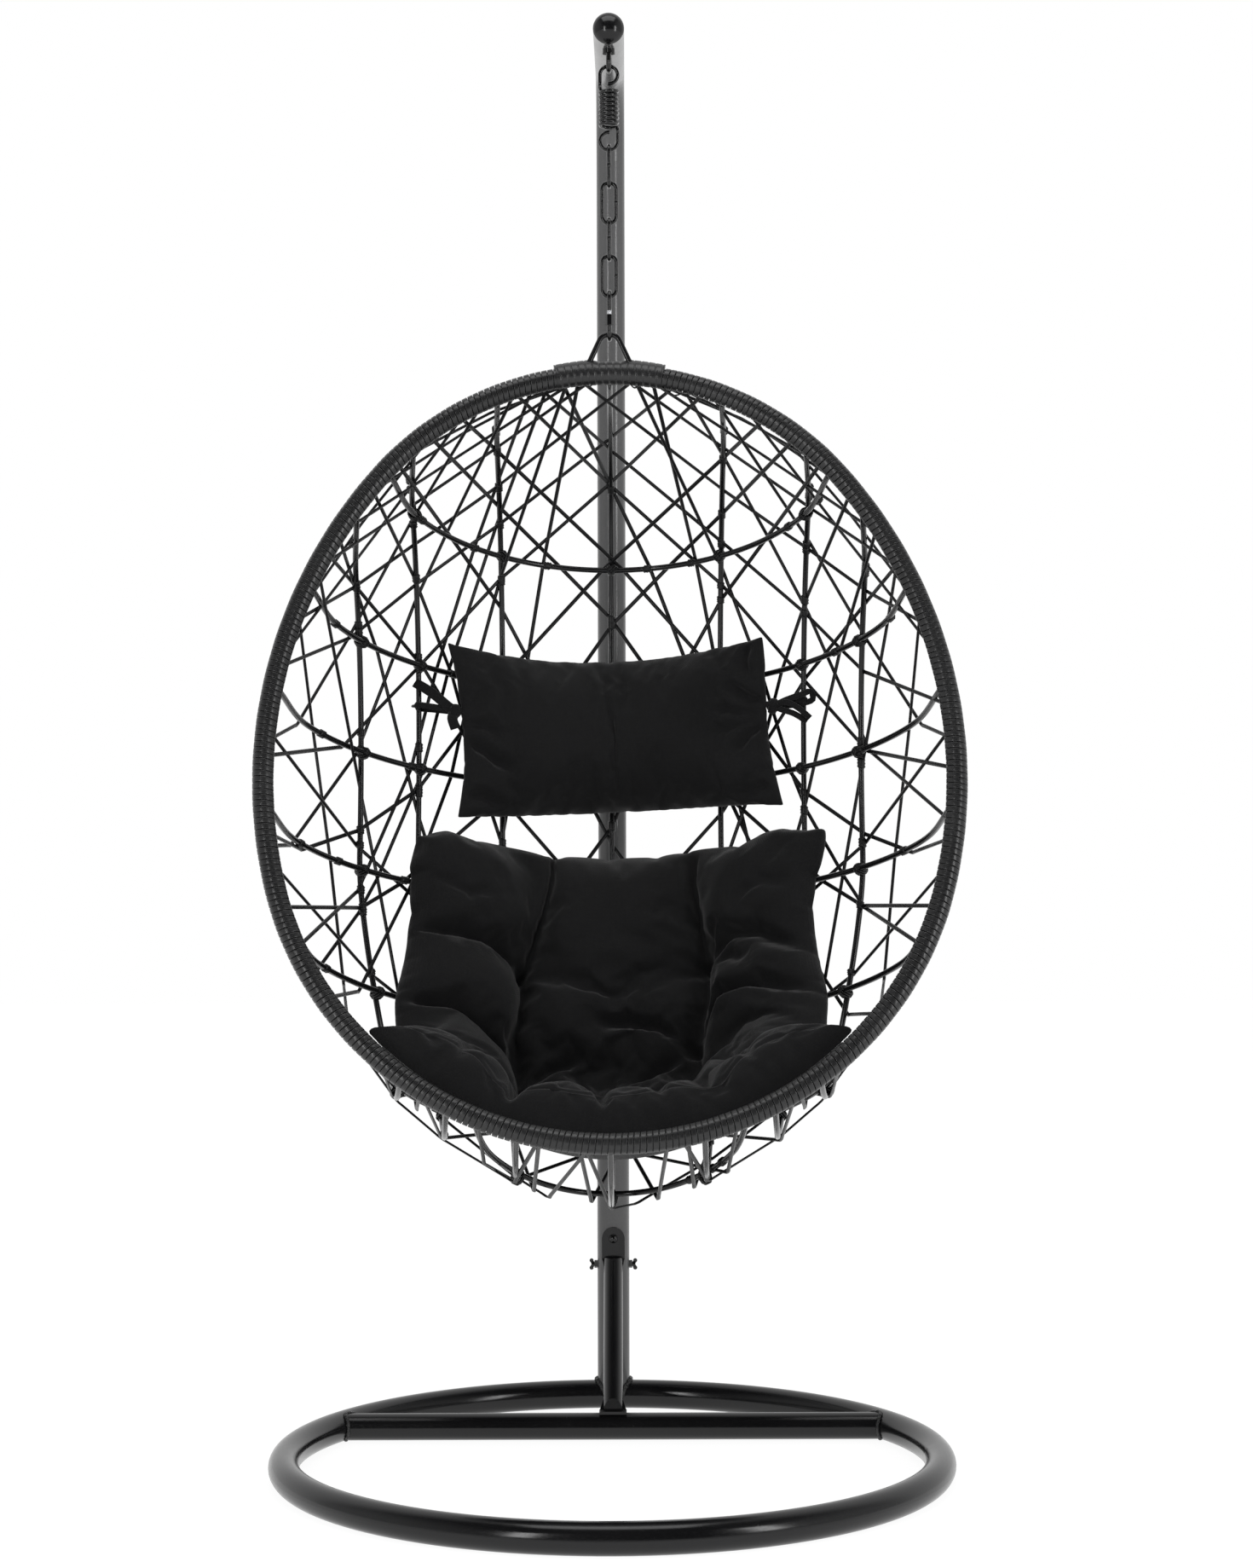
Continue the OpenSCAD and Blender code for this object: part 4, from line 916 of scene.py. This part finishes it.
def two_sheets(cols, rows, spot, size):
    """A back and a front sheet sewn round their edge. spot(u, s, front) gives a place in
    millimetres; u, s and front stay with each point as attributes. Its UV map is in metres."""
    bm = bmesh.new()
    bmesh.ops.create_grid(bm, x_segments=cols, y_segments=rows, size=1)
    copy = bmesh.ops.duplicate(bm, geom=bm.verts[:] + bm.edges[:] + bm.faces[:])
    bmesh.ops.translate(bm, verts=made_of(copy, bmesh.types.BMVert), vec=(0, 0, 1))
    bmesh.ops.reverse_faces(bm, faces=made_of(copy, bmesh.types.BMFace))
    bmesh.ops.bridge_loops(bm, edges=[e for e in bm.edges if e.is_boundary])
    layers = [bm.verts.layers.float.new(name) for name in ("across", "down", "front")]
    uv = bm.loops.layers.uv.new("UVMap")
    for vert in bm.verts:
        for layer, value in zip(layers, (vert.co.x, (1 - vert.co.y) / 2, round(vert.co.z))):
            vert[layer] = value
    for face in bm.faces:
        for loop in face.loops:
            across, down, side = (loop.vert[layer] for layer in layers)
            loop[uv].uv = (across * size[0] / 1000, (down + side) * size[1] / 1000)
    for vert in bm.verts:
        across, down, side = (vert[layer] for layer in layers)
        vert.co = place(spot(across, down, side > 0.5))
    return bm


def swell_cloth(piece, holds, pressure, slack, cap):
    """Blows the cloth up between the held points, caps the movement and keeps the result."""
    rest = places(piece)
    group = piece.vertex_groups.new(name="held")
    for index, weight in enumerate(holds):
        if weight > 0:
            group.add([index], float(weight), "REPLACE")
    cloth = piece.modifiers.new("cloth", "CLOTH")
    settings = cloth.settings
    for label, value in CLOTH.items():
        setattr(settings, label, value)
    settings.uniform_pressure_force = pressure
    settings.shrink_min = -slack
    settings.effector_weights.gravity = 0
    cloth.point_cache.frame_start, cloth.point_cache.frame_end = 1, CLOTH_FRAMES
    for step in range(1, CLOTH_FRAMES + 1):
        scene.frame_set(step)
    moved = places(piece.evaluated_get(bpy.context.evaluated_depsgraph_get())) - rest
    size = np.linalg.norm(moved, axis=1, keepdims=True)
    moved *= np.minimum(1.0, cap / np.maximum(size, 1e-9))
    piece.modifiers.remove(cloth)
    piece.vertex_groups.clear()
    scene.frame_set(1)
    set_places(piece, rest + moved)


def places(piece):
    co = np.zeros(len(piece.data.vertices) * 3)
    piece.data.vertices.foreach_get("co", co)
    return co.reshape(-1, 3)


def set_places(piece, co):
    piece.data.vertices.foreach_set("co", co.ravel())
    piece.data.update()


def attribute(piece, name):
    values = np.zeros(len(piece.data.vertices), np.float32)
    piece.data.attributes[name].data.foreach_get("value", values)
    return values


def valley(u, s, lines, size):
    """How deep each (u, s) lies in the listed creases: lines of (points, depth mm, width mm)."""
    deep = np.zeros_like(u)
    hold = np.zeros_like(u)
    spread = np.array(size, float)
    here = np.stack([u, s], axis=1) * spread
    for points, depth, width in lines:
        near = np.full(len(u), 1e9)
        at = np.zeros(len(u))
        corners = np.array(points, float) * spread
        spans = len(corners) - 1
        for k, (a, b) in enumerate(zip(corners, corners[1:])):
            d = b - a
            t = np.clip(((here - a) @ d) / (d @ d), 0, 1)
            gap = np.linalg.norm(here - (a + t[:, None] * d), axis=1)
            at = np.where(gap < near, (k + t) / spans, at)
            near = np.minimum(near, gap)
        fade = np.clip(4 * np.minimum(at, 1 - at), 0, 1) ** 0.7
        fall = np.exp(-(near / width) ** 2) * fade
        deep = np.maximum(deep, depth * fall)
        hold = np.maximum(hold, (near < 4.0) * fade)
    return deep, hold


SEAT_FOLDS = [
    ([(-0.28, -0.04), (-0.4, 0.12), (-0.475, 0.225), (-0.53, 0.38), (-0.5, 0.525), (-0.46, 0.7)],
     26, 13),
    ([(0.41, -0.04), (0.48, 0.1), (0.525, 0.213), (0.52, 0.3), (0.47, 0.4), (0.44, 0.6)], 26, 13),
    ([(-0.5, 0.225), (-0.7, 0.195), (-0.85, 0.2), (-1.04, 0.225)], 26, 10),
    ([(-0.5, 0.525), (-0.72, 0.438), (-0.875, 0.413), (-1.04, 0.45)], 32, 12),
    ([(0.52, 0.213), (0.7, 0.18), (0.84, 0.2), (1.04, 0.3)], 24, 10),
    ([(0.46, 0.4), (0.64, 0.32), (0.84, 0.34), (1.04, 0.43)], 30, 11),
    ([(0.6, 0.22), (0.7, 0.23), (0.8, 0.26)], 12, 7),
    ([(-0.12, 0.34), (0.1, 0.338), (0.3, 0.36), (0.47, 0.4)], 20, 9),
    ([(-0.5, 0.525), (-0.36, 0.46), (-0.16, 0.42)], 16, 10),
    ([(0.45, 0.41), (0.3, 0.46), (0.12, 0.5)], 14, 10),
    ([(-0.5, 0.54), (-0.48, 0.75), (-0.45, 1.03)], 22, 9),
    ([(-0.2, 0.46), (-0.11, 0.66), (-0.07, 0.82), (-0.02, 1.03)], 20, 9),
    ([(0.02, 0.46), (-0.03, 0.7), (-0.06, 0.9)], 15, 8),
    ([(-0.8, 0.62), (-0.78, 0.8), (-0.74, 0.98)], 9, 8),
    ([(0.72, 0.6), (0.74, 0.8), (0.7, 0.98)], 9, 8),
    ([(-0.98, 0.1), (-0.84, 0.12), (-0.7, 0.1)], 8, 8),
    ([(0.98, 0.12), (0.86, 0.1), (0.74, 0.12)], 9, 8),
    ([(0.3, 0.62), (0.24, 0.8), (0.26, 1.02)], 9, 9),
    ([(-1.2, 0.93), (-0.8, 0.925), (-0.45, 0.94), (0.0, 0.93), (0.5, 0.925), (1.2, 0.93)], 5, 3.5),
]
SEAT_TUFTS = [(-0.49, 0.225), (0.52, 0.213), (-0.5, 0.53), (0.46, 0.4)]
PILLOW_FOLDS = [
    ([(-1.03, 0.53), (-0.95, 0.57), (-0.86, 0.66), (-0.76, 0.73)], 19, 9),
    ([(-1.03, 0.45), (-0.93, 0.45), (-0.82, 0.5)], 13, 7),
    ([(-1.03, 0.4), (-0.94, 0.33), (-0.86, 0.2)], 9, 7),
    ([(1.03, 0.42), (0.93, 0.36), (0.82, 0.24)], 18, 8),
    ([(1.03, 0.45), (0.9, 0.44), (0.72, 0.38)], 13, 8),
    ([(1.03, 0.5), (0.92, 0.58), (0.83, 0.7)], 17, 9),
    ([(1.03, 0.47), (0.88, 0.52), (0.7, 0.56)], 11, 8),
    ([(-0.98, 0.86), (-0.88, 0.9), (-0.76, 0.95)], 13, 8),
    ([(0.98, 0.88), (0.88, 0.92), (0.74, 0.95)], 13, 8),
    ([(0.92, 0.02), (0.9, 0.12), (0.93, 0.24)], 14, 7),
    ([(-0.1, 0.0), (-0.06, 0.1), (-0.02, 0.18)], 5, 11),
    ([(0.03, 0.0), (0.08, 0.12), (0.1, 0.2)], 5, 11),
]


def seat_spot(u, s, inward):
    x, v = seat_place(u, s)
    at, share = shell_point(x, v, -inward), seat_pull(s)
    raised = share * SAG * at.y * max(0.0, reach(v)) ** 2
    return Vector((at.x, at.y * (1 - share), at.z + raised))


def pillow_spot(u, s, inward):
    return shell_point(*pillow_place(u, s), -inward)


def make_seat(material):
    def spot(u, s, front):
        thick = SEAT_THICK[0] + SEAT_THICK[1] * seat_fill(u, s)
        return seat_spot(u, s, PAD_BACK + (thick if front else 0))

    bm = two_sheets(104, 112, spot, SEAT_SIZE)
    piece = pad("seat_cushion_cover", bm, SEAT_SIZE, seat_spot, material, "seat_cushion",
                SEAT_FOLDS, SEAT_TUFTS, pressure=5, slack=0.06, cap=0.026)


def make_pillow(material):
    def spot(u, s, front):
        fill = pillow_fill(u, s)
        thick = PILLOW_THICK[0] + PILLOW_THICK[1] * fill
        return pillow_spot(u, s, PAD_BACK + PILLOW_CURVE * (1 - fill) + (thick if front else 0))

    bm = two_sheets(88, 56, spot, PILLOW_SIZE)
    piece = pad("head_pillow_cover", bm, PILLOW_SIZE, pillow_spot, material, "head_pillow",
                PILLOW_FOLDS, [], pressure=4, slack=0.04, cap=0.02)


def pad(name, bm, size, spot, material, node, folds, tufts, pressure, slack, cap):
    """A sewn pad: listed creases and tufts pressed in, blown up as cloth, then smoothed once."""
    piece = finish_piece(name, bm, material, "basket", [node])
    u, s, front = (attribute(piece, key) for key in ("across", "down", "front"))
    deep, hold = valley(u, s, folds, size)
    inwards = inward_ways(u, s, spot)
    co = places(piece)
    push = np.where(front > 0.5, deep, 0.0)
    for number, (tu, ts) in enumerate(tufts):
        across, down = (u - tu) * size[0], (s - ts) * size[1]
        gap = np.hypot(across, down)
        pleat = 0.5 + 0.5 * np.sin(7 * np.arctan2(down, across) + number)
        tuck = 44 * np.exp(-(gap / 15) ** 1.4) + 4.0 * pleat * np.exp(-(gap / 52) ** 2)
        push = np.maximum(push, np.where(front > 0.5, tuck, 0))
        hold = np.maximum(hold, gap < 7)
    edge = np.minimum(1 - np.abs(u), np.minimum(s, 1 - s) * 2)
    hem = 0.5 + 0.5 * np.sin(u * size[0] * 0.16) * np.sin(s * size[1] * 0.17)
    push += np.where(front > 0.5, 2.6 * hem * np.exp(-(edge / 0.07) ** 2), 0)
    push *= np.clip(edge / 0.04, 0.12, 1)
    co += inwards * push[:, None] / 1000
    set_places(piece, co)
    holds = np.where(front > 0.5, 0.75 * hold, 1.0)
    holds = np.where((front < 0.5) & (edge < 0.04), 0.35, holds)
    swell_cloth(piece, holds, pressure, slack, cap)
    round_off = piece.modifiers.new("round_off", "SUBSURF")
    round_off.levels = round_off.render_levels = 1
    return piece


def inward_ways(u, s, spot):
    """The direction from the pad's front towards the shell, for each point."""
    ways = np.zeros((len(u), 3))
    known = {}
    for i, key in enumerate(zip(np.round(u, 3), np.round(s, 3))):
        if key not in known:
            back, front = (place(spot(*map(float, key), inward)) for inward in (0, 20))
            known[key] = (back - front).normalized()
        ways[i] = known[key]
    return ways


TIES = {  # side: its name, height on the pillow, and the tails as steps from the knot
    -1: ("left_pillow_tie", 0.37, [
        [(-14, -8, 10), (-34, -12, 26), (-57, -14, 40)], [(-3, -9, -12), (2, -8, -28)]]),
    1: ("right_pillow_tie", 0.42, [
        [(18, -10, 6), (40, -16, 12), (54, -14, 17), (57, -10, 8), (40, -8, 1), (14, -6, -2)],
        [(18, -12, 2), (36, -14, -8), (52, -12, -22)],
        [(12, -8, -8), (28, -10, -14), (48, -8, -26)]]),
}


def tie_pillow(material):
    """Flat sewn ties round the middle ribs: knot and tails on the left, a bow on the right."""
    for side, (name, s, tails) in TIES.items():
        seam = pillow_spot(side, s, PILLOW_SEAM)
        v = pillow_place(side, s)[1]
        rib = shell_point(side * 268, v, RIB_OUT + ROD_D / 2 + 2)
        inner, outer = (shell_point(side * x, v, -2) for x in (256, 282))
        knot = seam + Vector((side * 11, 3, 0))
        runs = [[seam - Vector((side * 8, 0, 0)), seam + Vector((side * 3, 0, 2)), knot],
                [knot, knot.lerp(inner, 0.5), inner, rib, outer, knot + Vector((side * 6, -2, 3))]]
        runs += [[knot] + [knot + Vector(step) for step in tail] for tail in tails]
        whole = bmesh.new()
        for number, points in enumerate(runs):
            wide = 0.0145 if side < 0 and number > 1 else 0.009
            line = smoothed([(point, Vector((0, -1, 0))) for point in points], 0.004)
            take_in(whole, bent_tube(line, wide, 0.0018, squareness=0.7))
        for tilt in (0.4, -0.5, 1.3):
            loop = []
            for a in angles(12):
                flat = math.cos(a)
                spoke = Vector((flat * math.cos(tilt), math.sin(a), flat * math.sin(tilt) * 1.5))
                loop.append((place(knot + spoke * 6.6), (TURN @ spoke).normalized()))
            take_in(whole, bent_tube(loop, 0.012, 0.005, closed=True))
        finish_piece(name + "_strap", whole, material, "basket", [name])


# ---- putting it together

set_camera()
set_studio()
PAINT = dict(group=orange_peel, pattern=(330.0, 1.0), dust=(7.0, 420.0, 0.55),
             gloss=(0.16, 0.42), bump=(0.05, 0.0003), specular=0.38)
steel = surface("gloss_black_powder_paint",
                colours=((0.0045, 0.0045, 0.005), (0.012, 0.012, 0.0125)), **PAINT)
# painted reflection: the steel's own paint recipe in a lighter grey, standing in for the reflected
# light that makes the mast and lower post look mid grey
pole_paint_with_painted_reflection = surface("powder_paint_lightened_as_painted_reflection",
               colours=((0.095, 0.095, 0.096), (0.13, 0.13, 0.131)), **PAINT)
hardware = surface(
    "black_plated_hardware", orange_peel, (900.0, 1.0), (60.0, 900.0, 0.8),
    ((0.0035, 0.0035, 0.0038), (0.012, 0.012, 0.012)), (0.1, 0.26), (0.05, 0.0001))
zinc = surface(
    "bright_zinc", orange_peel, (1400.0, 1.0), (90.0, 1500.0, 1.0),
    ((0.74, 0.75, 0.78), (0.42, 0.42, 0.43)), (0.2, 0.5), (0.2, 0.0001), Metallic=1.0)
strand = surface(
    "drawn_black_resin", drawn_ridges, (3600.0, 0.6), (14.0, 500.0, 0.7),
    ((0.0045, 0.0045, 0.005), (0.013, 0.013, 0.0135)), (0.26, 0.5), (0.22, 0.0003), specular=0.3)
strip = surface(
    "flat_black_resin_strip", orange_peel, (520.0, 1.0), (11.0, 380.0, 0.8),
    ((0.012, 0.012, 0.0125), (0.03, 0.03, 0.0305)), (0.3, 0.44), (0.04, 0.0002))
canvas = surface(
    "black_woven_polyester", plain_weave, (820.0, 1.2), (5.0, 650.0, 0.8),
    ((0.0062, 0.0062, 0.0066), (0.0125, 0.0125, 0.013)), (0.72, 0.98), (0.35, 0.0006),
    specular=0.16, Sheen_Weight=0.14, Sheen_Roughness=0.4)
weld = surface(
    "painted_weld", orange_peel, (520.0, 2.0), (120.0, 900.0, 0.9),
    ((0.008, 0.008, 0.0085), (0.03, 0.03, 0.03)), (0.22, 0.5), (0.7, 0.0012))

# the parts that take the lighter grey copy of the paint, a painted reflection
POLES_WITH_PAINTED_REFLECTION = ["mast", "lower_post"]
PAINTED = ["base_ring", "cross_tube", "brace_tube", "mast_cap", "bail", "rim_tube"]
for name, node in nodes.items():
    metal = pole_paint_with_painted_reflection if name in POLES_WITH_PAINTED_REFLECTION else steel if name in PAINTED else hardware
    if not node.material_slots:
        node.data.materials.append(metal)
    for held in node.material_slots:
        held.material = metal

lay_rods(steel)
for level, (name, pairs) in enumerate(STRANDS.items()):
    lay_strands(name, pairs, level, strand)
bind_crossings(strand)
wind_rim(strip)
wind_saddle(strip)
loose_loops(strand)
weld_stand(weld)
weld_links(hardware)
wind_spring(hardware)
quick_link_thread(zinc)
make_seat(canvas)
make_pillow(canvas)
tie_pillow(canvas)
